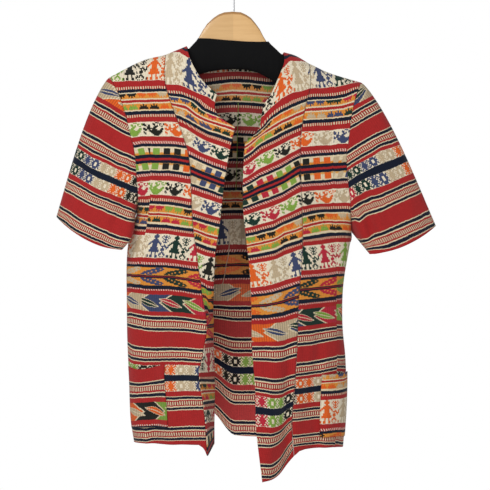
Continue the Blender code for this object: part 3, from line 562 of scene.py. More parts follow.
# Lines down the panels. Columns: share of the length, x, forward of the roll and height in mm, stripe level.
# A line with a dart or seam has two levels: for the cloth towards the side, and towards the front edge.
panelLines = {
    "sideRight": (
        (0, -204, 0, -178, 76.1), (0.06, -190, 3, -204, 90), (0.125, -179, 6, -234, 108.1),
        (0.2, -169, 9, -272, 131.3), (0.28, -160, 11, -314, 157.1), (0.32, -158, 10, -345, 176.2),
        (0.36, -156, 7, -375, 194.8), (0.385, -158, 6, -392, 205.5), (0.4, -160, 0, -402, 211.8),
        (0.45, -170, 0, -428, 228), (0.5, -175, 0, -455, 245.4), (0.55, -177, 0, -482, 262.8),
        (0.65, -177, 0, -546, 303.1), (0.75, -176, 0, -614, 344.3), (0.85, -173, 0, -676, 381.4),
        (0.95, -170, 0, -747, 424.8), (1, -165, 0, -779, 443.9),
    ),
    "dartRight": (
        (0, -162, 0, -156, 62.9, 62.9), (0.06, -153, 4, -193, 84.1, 84.1),
        (0.125, -143, 9, -228, 105.2, 105.2), (0.2, -137, 13, -270, 130.8, 130.8),
        (0.28, -135, 16, -318, 160.3, 160.3), (0.36, -136, 15, -379, 197.1, 197.6),
        (0.45, -142, 10, -426, 224.9, 226.2), (0.55, -152, 9, -478, 259.5, 259.1),
        (0.65, -150, 9, -544, 300.7, 300.2), (0.75, -148, 10, -611, 342, 341),
        (0.85, -147, 12, -672, 378.8, 378.7), (0.95, -144, 14, -742, 422.4, 422.4),
        (1, -142, 15, -777, 444.3, 444.3),
    ),
    "princessRight": (
        (0, -112, 0, -141, 54.7, 56.5), (0.06, -112, 9, -188, 80.9, 79),
        (0.125, -102, 17, -224, 102.6, 99.6), (0.2, -85, 24, -270, 129.1, 123.8),
        (0.28, -72, 30, -315, 155.3, 145.3), (0.36, -68, 33, -370, 188.7, 177.3),
        (0.45, -66, 35, -418, 217.8, 206.4), (0.55, -59, 38, -470, 249.8, 233.5),
        (0.65, -50, 43, -535, 290.1, 273.6), (0.75, -43, 50, -595, 328.8, 310),
        (0.8, -50, 55, -633, 356.2, 334.2), (0.85, -55, 58, -662, 375.5, 352.8),
        (0.9, -49, 60, -702, 403.2, 378.2), (0.95, -45, 62, -736, 424.9, 399.9),
        (1, -42, 63, -788, 458, 433),
    ),
    "edgeRight": (
        (0, -78, 0, -127, 51), (0.03, -73, 6, -146, 58), (0.06, -65, 10, -165, 63),
        (0.09, -51, 14, -188, 69.5), (0.12, -36, 20, -203, 75), (0.14, -27, 23, -212, 79),
        (0.16, -31, 25, -231, 87), (0.175, -26, 28, -246, 93.5), (0.2, 2, 36, -266, 99.5),
        (0.28, -9, 40, -319, 133.8), (0.36, -16, 41, -367, 166.6), (0.45, -21, 40, -412, 196.3),
        (0.55, -29, 36, -468, 230.1), (0.65, -32, 30, -537, 273), (0.75, -34, 24, -605, 315),
        (0.85, -32, 17, -674, 357.3), (0.95, -33, 13, -747, 402), (1, -33, 12, -777, 420.4),
    ),
    "sideLeft": (
        (0, 209, 0, -187, 79.5), (0.05, 201, 3, -207, 91), (0.1, 194, 6, -232, 103.5),
        (0.16, 190, 8, -258, 117.1), (0.22, 186, 10, -289, 135.1), (0.28, 183, 11, -317, 152),
        (0.32, 185, 10, -346, 170.3), (0.36, 190, 7, -390, 197.5), (0.385, 192, 6, -418, 213.9),
        (0.4, 194, 0, -434, 223.7), (0.45, 191, 0, -455, 236.4), (0.5, 187, 0, -478, 250.4),
        (0.55, 183, 0, -501, 264.2), (0.6, 180, 0, -526, 278.9), (0.7, 179, 0, -587, 315.4),
        (0.8, 184, 0, -643, 352.2), (0.9, 185, 0, -711, 396), (0.95, 183, 0, -750, 420.6),
        (1, 180, 0, -787, 444.1),
    ),
    "dartLeft": (
        (0, 168, 0, -175, 69.9, 68.9), (0.05, 163, 4, -206, 86.2, 85), (0.1, 162, 8, -231, 100.6, 99.4),
        (0.2, 162, 13, -282, 130.7, 129.7), (0.28, 161, 16, -327, 157.9, 157.4),
        (0.36, 162, 15, -392, 199, 198.1), (0.45, 167, 10, -450, 233.4, 232.2),
        (0.55, 168, 9, -499, 263.5, 261.6), (0.65, 167, 9, -553, 295.9, 293.2),
        (0.75, 168, 10, -613, 333.1, 331.2), (0.85, 167, 12, -677, 377.2, 374),
        (0.95, 166, 14, -747, 422.8, 420), (1, 164, 15, -783, 445.9, 445.3),
    ),
    "princessLeft": (
        (0, 124, 0, -156, 57.1, 58), (0.05, 125, 9, -195, 77.3, 79), (0.1, 118, 15, -225, 94.6, 95.5),
        (0.16, 111, 21, -260, 114.6, 112), (0.28, 108, 31, -331, 156.4, 154.2),
        (0.36, 110, 34, -386, 190.9, 188.4), (0.45, 111, 36, -444, 226.1, 222.7),
        (0.55, 109, 38, -490, 254, 248), (0.65, 104, 42, -548, 288.4, 281.3),
        (0.75, 102, 46, -610, 326.3, 316.1), (0.85, 98, 50, -676, 369.9, 356.8),
        (0.95, 93, 54, -748, 421.3, 413.9), (1, 96, 55, -790, 454.2, 453.2),
    ),
    "middleLeft": (
        (0, 102, 0, -143, 50), (0.06, 98, 11, -187, 71), (0.12, 88, 19, -222, 85.5),
        (0.2, 63, 36, -277, 107.6), (0.28, 60, 42, -331, 140.8), (0.36, 61, 45, -385, 174.7),
        (0.45, 64, 46, -442, 210.8), (0.55, 66, 48, -489, 239.7), (0.65, 66, 53, -544, 274.1),
        (0.75, 66, 58, -610, 312.8), (0.85, 66, 64, -681, 355.1), (0.95, 66, 70, -763, 406.5),
        (1, 69, 74, -818, 444.2),
    ),
    "edgeLeft": (
        (0, 82, 0, -137, 49), (0.03, 82, 6, -157, 56.5), (0.06, 76, 10, -174, 60),
        (0.09, 68, 14, -193, 64.5), (0.12, 59, 18, -213, 70), (0.15, 47, 22, -232, 76.5),
        (0.17, 44, 26, -251, 84.5), (0.185, 40, 34, -271, 93), (0.2, 18, 45, -293, 101),
        (0.28, 15, 50, -345, 135.1), (0.36, 15, 52, -396, 173.2), (0.45, 20, 52, -447, 208.6),
        (0.55, 25, 54, -492, 238.8), (0.65, 28, 58, -544, 272.1), (0.75, 29, 64, -613, 314.1),
        (0.85, 34, 72, -680, 357.2), (0.95, 37, 82, -760, 403.5), (1, 45, 88, -824, 446.5),
    ),
    "backArmholeRight": (
        (0, -204, 0, -178, 79.2), (0.06, -197, 3, -204, 96.9), (0.125, -189, 5, -234, 115.1),
        (0.2, -182, 7, -272, 138), (0.28, -174, 8, -314, 163.3), (0.36, -165, 6, -375, 199.8),
        (0.385, -162, 5, -392, 210), (0.4, -160, 0, -402, 216),
    ),
    "backArmholeLeft": (
        (0, 209, 0, -187, 78.2), (0.06, 206, 3, -213, 95.5), (0.125, 202, 5, -243, 113.4),
        (0.2, 199, 7, -281, 136.1), (0.28, 196, 8, -322, 160.3), (0.36, 194, 6, -390, 200.5),
        (0.385, 193, 5, -418, 217.1), (0.4, 194, 0, -434, 226.5),
    ),
    "backQuarterRight": (
        (0, -78, 0, -127, 53.2), (0.06, -79, 8, -176, 85.6), (0.125, -80, 13, -222, 113.8),
        (0.28, -82, 21, -314, 170.2), (0.4, -82, 24, -396, 219.8), (0.6, -78, 24, -508, 284.8),
        (0.8, -72, 28, -641, 363.3), (1, -66, 32, -763, 435.6),
    ),
    "backMiddle": (
        (0, 2, 4, -150, 68.5), (0.06, 2, 8, -186, 94.3), (0.125, 2, 13, -228, 119.7),
        (0.28, 2, 22, -318, 176.4), (0.4, 2, 25, -400, 226), (0.6, 3, 25, -515, 291.2),
        (0.8, 4, 29, -648, 368.4), (1, 5, 33, -778, 444.9),
    ),
    "backQuarterLeft": (
        (0, 82, 0, -137, 59.2), (0.06, 84, 8, -184, 90.4), (0.125, 86, 13, -230, 118.6),
        (0.28, 88, 21, -324, 176.3), (0.4, 90, 24, -412, 229.1), (0.6, 88, 24, -522, 292.9),
        (0.8, 88, 28, -650, 368.7), (1, 86, 32, -780, 445.7),
    ),
}
backNeck = (
    (-72, 15, -133), (-50, 20, -144), (-25, 23, -149), (2, 24, -151), (29, 23, -151), (54, 20, -149),
    (76, 15, -142),
)
# How far the stripes bow above a straight line from edge to edge of a panel, in stripe levels. The rows
# were fitted to the stripes in the photo, then smoothed, in part set one by one, and rounded.
# Rows: share of the length, then the bow at each share of the width in "across"
stripeBows = {
    "sideRightOuter": {"across": (0.08, 0.3, 0.5, 0.7, 0.92), "rows": (
        (0, -0.2, -0.2, 0.5, 0.2, 0.2), (0.04, 0, -0.1, 0.5, 0.2, 0.2), (0.08, 0.5, 0.7, 0.6, 0.8, 0.9),
        (0.12, 0.4, 0.4, 0.5, 0.4, 0.2), (0.16, 0.6, 0.7, 1, 1, 0.9), (0.2, 0.2, 0.5, 1, 1, 1),
        (0.28, 0.1, 0.3, 0.6, 0.5, 0.4), (0.36, 0, 0.5, 0.6, 0.7, 0.9), (0.44, 1.5, 1, 0.7, 0.7, 0.8),
        (0.52, 0.8, 0.5, 0.5, 0.5, 1.5), (0.6, 0.1, 0.6, 0.4, 0.4, 0.6), (0.68, 0.2, 1.4, 0.9, 0.6, 0),
        (0.76, 3.5, 1.4, 0.8, 0.5, 0.2), (0.84, 1.2, 0.5, 0.3, 0.2, 0.1), (0.92, 0, 0, 0, 0, 0),
        (1, 0, 0, 0, 0, 0),
    )},
    "sideRightInner": {"across": (0.08, 0.3, 0.5, 0.7, 0.92), "rows": (
        (0, 0.2, -0.2, 0, 1, 1.7), (0.04, 0.2, -0.2, 0, 1, 0.5), (0.08, 0.5, 0.1, 0.3, 0.8, 0.7),
        (0.12, 0.1, 0, 0, 0.3, 0.7), (0.16, 0.9, 0.6, 0.9, 1.2, 1.1), (0.2, 0.8, 0.6, 1.1, 1.3, 0.5),
        (0.28, 0.8, 1.7, 2.3, 1.7, 0.5), (0.36, 2, 3.2, 2.9, 2, 0.2), (0.44, 2.6, 2.9, 2.9, 1.8, 0.4),
        (0.52, 2, 2.2, 3.2, 2, 1.5), (0.6, 1, 1.9, 2.8, 2.4, 1.2), (0.68, 0.3, 1, 2.1, 2, 0),
        (0.76, 0.8, 1.3, 2.5, 2.5, 0.9), (0.84, 0.3, 0.4, 0.8, 0.8, 0.3), (0.92, 0, 0, 0, 0, 0),
        (1, 0, 0, 0, 0, 0),
    )},
    "centreRight": {"across": (0.08, 0.3, 0.5, 0.7, 0.92), "rows": (
        (0, 1.3, 2.2, 2.2, 2.2, -1.5), (0.04, 0.2, 1.7, 1.5, -1.3, -1.5), (0.08, -0.9, 1, 1.5, -1.3, -1.5),
        (0.12, -0.2, 1.2, 0, -2, -3.2), (0.16, 1, 1, -1.2, -2.8, -3.1), (0.2, 2.4, -0.9, -2.7, -1.6, -1),
        (0.28, 2.2, 1.1, 0.4, 0, 0), (0.36, 2, 1.4, 1.1, 0.3, -0.7), (0.44, 0.7, 0.2, -0.1, -0.2, -0.3),
        (0.52, 2.4, 1.3, 0.3, -0.2, -0.5), (0.6, 2.7, 1.3, 0.5, 0.2, 0),
        (0.68, 2.7, 2.6, -1.1, -0.6, -0.1), (0.76, -1, 0.3, 1.5, 2.2, -1), (0.84, 2, 2, 2, 2, 0),
        (0.92, 2, 0.2, 2, 2, 0), (1, 0, 0, 0, 0, 0),
    )},
    "sideLeftOuter": {"across": (0.08, 0.3, 0.5, 0.7, 0.92), "rows": (
        (0, 1.8, 1, -0.2, -0.2, -0.5), (0.04, 2.8, 1.1, 0, -0.2, -0.3), (0.08, 1.3, 0.6, 0.1, 0.1, 0.2),
        (0.12, 1.2, 0.4, 0, -0.1, -0.2), (0.16, 1.2, 1.2, 0.9, 0.9, 0.4), (0.2, 0.8, 1, 1, 1, 0),
        (0.28, 0.7, 0.5, 0.3, 0.1, 0), (0.36, 0, 0.7, 0.5, 0.3, -0.1), (0.44, 1.2, 0.8, 0.7, 0.8, 0.9),
        (0.52, -0.3, 0.8, 0.8, 0.8, 0.8), (0.6, 1.2, 1.2, 0.4, 0.2, 0), (0.68, 0.2, 0.2, 0.2, 0.2, 0.2),
        (0.76, 0.2, 0.2, 0.2, 0.2, 0.2), (0.84, 0.2, 0.2, 0.2, 0.2, 0.2), (0.92, 0.2, 0.2, 0.2, 0.2, 0.2),
        (1, 0.2, 0.2, 0.2, 0.2, 0.2),
    )},
    "sideLeftInner": {"across": (0.08, 0.3, 0.5, 0.7, 0.92), "rows": (
        (0, 1.3, 1, 1, 1.3, 0.8), (0.04, 1.3, 1, 1, 1.3, 0.8), (0.08, 1.5, 1.5, 1.6, 1.4, 1),
        (0.12, 0.9, 0.8, 0.5, 0.5, 0.2), (0.16, 1.5, 1.4, 1.4, 1.2, 0.6), (0.2, 0.5, 1, 0.8, 0.5, 0.8),
        (0.28, 0.8, 1.6, 1.5, 1, 0.4), (0.36, 1, 1.7, 1.8, 1.3, 0.2), (0.44, 1.8, 1.3, 0.9, 0.8, 0.3),
        (0.52, 2.4, 1.8, 1.3, 0.8, 0.8), (0.6, 2.5, 2.5, 2.2, 1.9, 1.5), (0.68, 0.2, 0, 0, 0, 0),
        (0.76, 2.2, 2, 0.7, 0, 0.2), (0.84, 0.7, 0.7, 0.2, 0, 0.1), (0.92, 0, 0, 0, 0, 0),
        (1, 0, 0, 0, 0, 0),
    )},
    "centreLeft": {"across": (0.08, 0.3, 0.5, 0.7, 0.92), "rows": (
        (0, 0.6, 2.4, 2.4, 2.4, 0.3), (0.04, 0, 0, 1.6, 2.4, -1.1), (0.08, -1.5, -1.2, 1.5, 2.4, -1.3),
        (0.12, -1.2, -0.6, -0.3, 1.9, -1.3), (0.16, 0.1, 0.1, 0.2, -0.2, -2.2),
        (0.2, 1.5, 0.8, 0.3, 0.6, -4), (0.28, 3.4, 0.2, 0, 0.6, -2), (0.36, 2.8, 1.3, 0.9, 0.6, -1.1),
        (0.44, 1.9, 3.6, 1, 0.9, 0), (0.52, 2.8, 3.1, 1.4, 1, 0), (0.6, 2.9, 2.8, 1.7, 0.8, 0),
        (0.68, 0.9, 0.2, 0.5, -0.3, 0.5), (0.76, 0.6, -1.1, -0.6, -0.1, 0),
        (0.84, 1.4, 0.7, 1.4, 2.2, 1.9), (0.92, -2.5, -2.5, 0.5, 2.2, 2.2), (1, 0, 0, 0, 0, 0),
    )},
    "back": {"across": (0.1, 0.5, 0.9), "rows": (
        (0, 2, 2.5, 2), (0.04, 2, 2.5, 2), (0.08, -0.6, -1.6, -0.8), (0.12, 1, 0.6, 0.3),
        (0.2, 0.5, 0.2, 0.2), (0.28, 0.5, 0.3, 0.5), (0.36, 1, 1.6, 1), (0.44, 1, 2, 1.5),
        (0.52, 1, 1.6, 1), (0.6, 0.6, 0.6, 0.6), (0.68, 0, -0.6, 0), (0.76, 0.8, 0.8, 0.8),
        (0.84, -0.5, -1.6, -2), (0.92, -0.5, -2, -3), (1, 0, -2, -3),
    )},
    "sleeveRight": {"across": (20, 45, 70, 95, 120, 145), "rows": (
        (0, -14, -13.5, -11, -8.5, -7, -8), (0.17, -14, -12, -10, -7, -7, -8),
        (0.33, -12.5, -10.5, -8.2, -6.9, -5, -5.5), (0.5, -12, -11.5, -8, -4.3, -3, -5),
        (0.67, -10, -7.3, -5.2, -2.6, -2.7, -4.8), (0.83, -8.4, -5.8, -4.2, -2.3, -2.3, -4.4),
        (0.92, -6.1, -3.5, -2.5, -1.1, -1.4, -3.9), (1, -4.2, -2.4, -2.1, -0.5, -0.4, -2.3),
    )},
    "sleeveLeft": {"across": (20, 45, 70, 95, 120, 145), "rows": (
        (0, 3.5, 4.8, 7.5, 7, 6, 2), (0.17, 6.7, 8.4, 9.4, 8.9, 7.2, 2), (0.33, 7.6, 9.8, 9.5, 9.8, 6, 0),
        (0.5, 5.1, 5.4, 6.6, 7, 4.7, -1.5), (0.67, 2.1, 4, 5, 3.5, 2.8, -1.5),
        (0.83, 0.5, 1, 3, 3.3, 1.9, 0.3), (0.92, -1.5, 0.2, 1.8, 1.5, 0.3, 0.8),
        (1, -2.9, -1.6, -1, -1.3, -1.1, 0.5),
    )},
}
shape = {
    "wall": 0.0012, "gap": 0.00015, "roll": 0.020, "sideRoll": 0.022, "underarm": 0.40, "sideBlend": 0.04,
    "neckCorner": 0.20, "foldX": -0.019, "foldWidth": 0.042, "foldLift": 0.030, "foldDepth": 0.014,
    "foldStart": 0.60, "foldReach": 0.110, "dartTop": 0.36, "dartEnd": 0.66, "dartDepth": 0.0014,
    "seamDip": 0.0011,
}
# Soft upright waves below the waist. Columns: side, x, half width, forward in mm, share where each starts
waves = (
    (-1, -0.100, 0.020, 5, 0.62), (-1, -0.128, 0.014, -4, 0.70), (1, 0.130, 0.018, -5, 0.60),
    (1, 0.085, 0.013, -7, 0.68), (1, 0.150, 0.014, 4, 0.72), (1, 0.052, 0.018, 5, 0.72),
)


def slopes(knots, values):
    steps = np.diff(knots)[:, None]
    chords = np.diff(values, axis=0) / steps
    inner = (chords[:-1] * steps[1:] + chords[1:] * steps[:-1]) / (steps[1:] + steps[:-1])
    return np.vstack([chords[:1], inner, chords[-1:]])


def smooth(knots, values, places):
    # A smooth curve through the knots
    knots, values, places = (np.asarray(given, float) for given in (knots, values, places))
    tangents = slopes(knots, values)
    index = np.clip(np.searchsorted(knots, places, side="right") - 1, 0, len(knots) - 2)
    width = (knots[index + 1] - knots[index])[:, None]
    t = (places - knots[index])[:, None] / width
    start = (1 + 2 * t) * (1 - t) ** 2 * values[index] + t * (1 - t) ** 2 * width * tangents[index]
    end = t ** 2 * (3 - 2 * t) * values[index + 1] - t ** 2 * (1 - t) * width * tangents[index + 1]
    return start + end


def lineOf(name, downs, corner=None):
    # Position in metres and the stripe levels down one line, with a sharp corner where one is given
    table = np.asarray(panelLines[name], float)
    if corner is None:
        points = smooth(table[:, 0], table[:, 1:], downs)
    else:
        upper, lower, above = table[table[:, 0] <= corner], table[table[:, 0] >= corner], downs <= corner
        points = np.empty((len(downs), table.shape[1] - 1))
        points[above] = smooth(upper[:, 0], upper[:, 1:], downs[above])
        points[~above] = smooth(lower[:, 0], lower[:, 1:], downs[~above])
    points[:, :3] *= millimetre
    return points


def bow(name, shares, places):
    # The bow of a panel's stripes at every row and column
    table = np.asarray(stripeBows[name]["rows"], float)
    byRow = np.stack([np.interp(shares, table[:, 0], table[:, k]) for k in range(1, table.shape[1])], axis=1)
    knots = stripeBows[name]["across"]
    return np.stack([np.interp(places, knots, values) for values in byRow])


def quarter(share):
    return np.sqrt(np.clip(1 - (1 - np.clip(share, 0, 1)) ** 2, 0, 1))


def softStep(share):
    share = np.clip(share, 0, 1)
    return share * share * (3 - 2 * share)


def softBump(share):
    return np.clip(1 - share * share, 0, 1) ** 2


def across(lines, knots, places):
    stacked = np.stack(lines)
    return np.stack([smooth(knots, stacked[:, row], places) for row in range(stacked.shape[1])])


def turnedOver(grid, top, sideX, facing):
    # The cloth rolls over the hanger, and round the side seam below the underarm
    roll = quarter(np.maximum(top[None, :] - grid[:, :, 2], 0) / shape["roll"])
    blend = softStep((downs - (shape["underarm"] - shape["sideBlend"])) / shape["sideBlend"])[:, None]
    roll = roll * (1 - blend * (1 - quarter(np.abs(grid[:, :, 0] - sideX) / shape["sideRoll"])))
    placed = grid.copy()
    placed[:, :, 1] = facing * (grid[:, :, 1] + shape["roll"] * roll)
    return placed


def addWaves(grid, side):
    for where, x, half, forward, start in waves:
        if where == side:
            grow = softStep((downs - start) / (1 - start))[:, None]
            grid[:, :, 1] -= forward * millimetre * grow * softBump((grid[:, :, 0] - x) / half)


downs = np.unique(np.round(np.concatenate([
    [0, 0.0015, 0.004, 0.008, 0.013, 0.019, 0.026, 0.034, 0.385, 0.39, 0.395, 0.992, 0.997, 1.0],
    np.arange(0.04, 0.99, 0.01),
]), 5))


def columnsBetween(first, last, count):
    # Columns crowd towards both edges of a panel, where the seam dips
    inner = np.linspace(first, last, count + 1)
    lip = (last - first) * 0.03
    return np.unique(np.concatenate([inner, [first + lip, last - lip]]))


# How far the hem of a side front is cut up, in mm, from the dart (2) to the princess seam (6)
hemCut = {
    "from": 0.955, -1: ((2, 0), (3, 2.5), (4, 7), (5, 12), (5.6, 15), (5.85, 9), (6, 0)),
    1: ((2, 0), (3, 2), (4, 4), (5, 7), (5.5, 6), (6, 0)),
}


def hemRise(places, side):
    start = hemCut["from"]
    return softStep((downs - start) / (1 - start))[:, None] * np.interp(places, *zip(*hemCut[side]))[None, :]


def sideFront(names, side):
    sideLine, dartLine, princessLine = (lineOf(name, downs) for name in names)
    outer, inner = columnsBetween(0, 2, 8), columnsBetween(2, 6, 16)
    places = np.concatenate([outer, inner[1:]])
    grid = across([line[:, :3] for line in (sideLine, dartLine, princessLine)], (0, 2, 6), places)
    placed = turnedOver(grid, grid[0, :, 2], grid[:, :1, 0], -1)
    addWaves(placed, side)
    middle, half = (shape["dartTop"] + shape["dartEnd"]) / 2, (shape["dartEnd"] - shape["dartTop"]) / 2
    dart = softBump((downs - middle) / half)[:, None] * softBump((places - 2)[None, :] / 0.25)
    placed[:, :, 1] += shape["dartDepth"] * dart
    cut = hemRise(places, side)
    placed[:, :, 2] += cut * millimetre
    parts = []
    for label, first, cols, start, end, startLevel, endLevel in (
            ("Outer", 0, outer, 0, 2, sideLine[:, 3], dartLine[:, 3]),
            ("Inner", len(outer) - 1, inner, 2, 6, dartLine[:, 4], princessLine[:, 3])):
        share = (cols - start) / (end - start)
        straight = startLevel[:, None] * (1 - share) + endLevel[:, None] * share
        straight = straight - cut[:, first:first + len(cols)] * millimetre / bandUnit
        parts.append((first, straight + bow(names[0] + label, downs, share)))
    return {"grid": placed, "places": places, "parts": parts}


def centreFront(names, side):
    lines = [lineOf(names[0], downs)[:, [0, 1, 2, 4]]]
    lines += [lineOf(name, downs, shape["neckCorner"] if "edge" in name else None) for name in names[1:]]
    knots = (0, 2, 4) if len(lines) == 3 else (0, 4)
    places = columnsBetween(0, 4, 16)
    full = across(lines, knots, places)
    placed = turnedOver(full[:, :, :3], full[0, :, 2], np.inf, -1)
    addWaves(placed, side)
    levels = full[:, :, 3] + bow("centreRight" if side < 0 else "centreLeft", downs, places / 4)
    return {"grid": placed, "places": places, "parts": [(0, levels)]}


def backSheet(sides, centres):
    underarm = shape["underarm"]
    below = downs > underarm
    edges = []
    for armhole, seam, rise in (("backArmholeRight", "sideRight", 3), ("backArmholeLeft", "sideLeft", 4)):
        line = lineOf(armhole, np.minimum(downs, underarm))
        line[below] = lineOf(seam, downs[below]) + np.array([0, 0, 0, rise])
        edges.append(line)
    middles = [lineOf(name, downs) for name in ("backQuarterRight", "backMiddle", "backQuarterLeft")]
    lines = [edges[0], *middles, edges[1]]
    rightPlaces = np.concatenate([sides[0]["places"], 6 + centres[0]["places"][1:]])
    leftPlaces = 28 - np.concatenate([sides[1]["places"], 6 + centres[1]["places"][1:]])[::-1]
    neckPlaces = np.linspace(10, 18, 33)[1:-1]
    places = np.concatenate([rightPlaces, neckPlaces, leftPlaces])
    full = across(lines, (0, 10, 14, 18, 28), places)
    grid = full[:, :, :3]
    tops = [np.vstack([s["grid"][0], c["grid"][0, 1:]]) for s, c in zip(sides, centres)]
    exact = grid[0].copy()
    first, last = len(rightPlaces), len(places) - len(leftPlaces)
    exact[:first], exact[last:] = tops[0], tops[1][::-1]
    exact[:, 1] = 0
    neck = np.arange(first, last)
    ends = np.vstack([exact[first - 1] / millimetre, backNeck, exact[last] / millimetre])
    exact[neck] = smooth(np.arange(10, 19), ends, neckPlaces) * millimetre
    top = exact[:, 2].copy()
    top[neck] = np.interp(neckPlaces, (10, 18), (top[first - 1], top[last]))
    exact[neck, 1] -= shape["roll"] * quarter((top[neck] - exact[neck, 2]) / shape["roll"])
    grid += (exact - grid[0])[None] * ((1 - downs) ** 6)[:, None, None]
    near = np.where(places[None, :] < 14, grid[:, :1, 0], grid[:, -1:, 0])
    placed = turnedOver(grid, top, near, 1)
    grow = softStep((downs - shape["foldStart"]) / (1 - shape["foldStart"]))[:, None]
    step = softStep((shape["foldX"] + shape["foldWidth"] / 2 - grid[:, :, 0]) / shape["foldWidth"])
    fade = 1 - softStep((shape["foldX"] - shape["foldWidth"] / 2 - grid[:, :, 0]) / shape["foldReach"])
    placed[:, :, 2] += shape["foldLift"] * grow * step * fade
    placed[:, :, 1] += shape["foldDepth"] * grow * step * fade
    return {"grid": placed, "places": places, "parts": [(0, full[:, :, 3] + bow("back", downs, places / 28))]}


sleeves = {
    "right": {"outer": (-293, 2, -408), "inner": (-189, -30, -463), "side": -1, "shift": 0.010, "turn": -1},
    "left": {"outer": (333, 2, -423), "inner": (221, -26, -470), "side": 1, "shift": 0.004, "turn": 1},
    "halfDepth": 0.025, "crown": 0.011, "hang": 0.010, "ease": 0.9, "rows": 64, "hemLevel": 446,
    "crease": 0.006, "creaseTurn": 2.25,  # the left sleeve's long crease, and its place round the sleeve
    "bulge": (0.014, -0.015, 0), "bulgeShare": 0.68,  # the right sleeve's inner edge, and its place down it
}


def sleeveSheet(armhole, hem):
    outer, inner = np.array(hem["outer"]) * millimetre, np.array(hem["inner"]) * millimetre
    reach = np.concatenate([[0], np.cumsum(np.linalg.norm(np.diff(armhole, axis=0), axis=1))])
    lowest = len(armhole) // 2
    late = math.pi + math.pi * (reach - reach[lowest]) / (reach[-1] - reach[lowest])
    angle = np.where(np.arange(len(armhole)) <= lowest, math.pi * reach / reach[lowest], late)
    flat = np.sign(np.sin(angle)) * np.abs(np.sin(angle)) ** sleeves["ease"]
    mouth = (outer + inner) / 2 + np.cos(angle)[:, None] * (outer - inner) / 2
    mouth[:, 1] -= sleeves["halfDepth"] * flat
    mouth[:, 2] -= sleeves["hang"] * (1 - np.cos(angle) ** 2)
    outward = np.array([hem["side"], 0, 0.35])
    outward /= np.linalg.norm(outward)
    shares = np.linspace(0, 1, sleeves["rows"])
    grid = np.empty((len(shares), len(armhole), 3))
    for row, share in enumerate(shares):
        bulge = sleeves["crown"] * math.sin(math.pi * share ** 0.62) * np.clip(np.cos(angle), 0, 1) ** 1.5
        grid[row] = armhole + (mouth - armhole) * share + outward * bulge[:, None]
        if hem["side"] > 0:
            long = softBump((angle - sleeves["creaseTurn"]) / 0.5) * softStep((share - 0.15) / 0.5)
            grid[row, :, 1] += sleeves["crease"] * long
        else:
            over = softBump(angle - math.pi) * softBump((share - sleeves["bulgeShare"]) / 0.66)
            grid[row] += np.array(sleeves["bulge"]) * over[:, None]
    slope = (outer - inner) / np.linalg.norm(outer - inner)
    axis = np.array([-slope[2], 0, slope[0]])
    axis *= -np.sign(axis[2])
    run = (grid[-1][None] - grid) @ axis
    folded = np.degrees(np.minimum(angle, 2 * math.pi - angle))
    name = "sleeveRight" if hem["side"] < 0 else "sleeveLeft"
    level = sleeves["hemLevel"] - run / bandUnit + bow(name, shares, folded)
    circle = np.concatenate([[0], np.cumsum(np.linalg.norm(np.diff(grid[len(shares) // 2], axis=0), axis=1))])
    around = (circle + hem["shift"]) * hem["turn"]
    return {"grid": grid, "parts": [(0, level)], "around": around, "angle": angle}


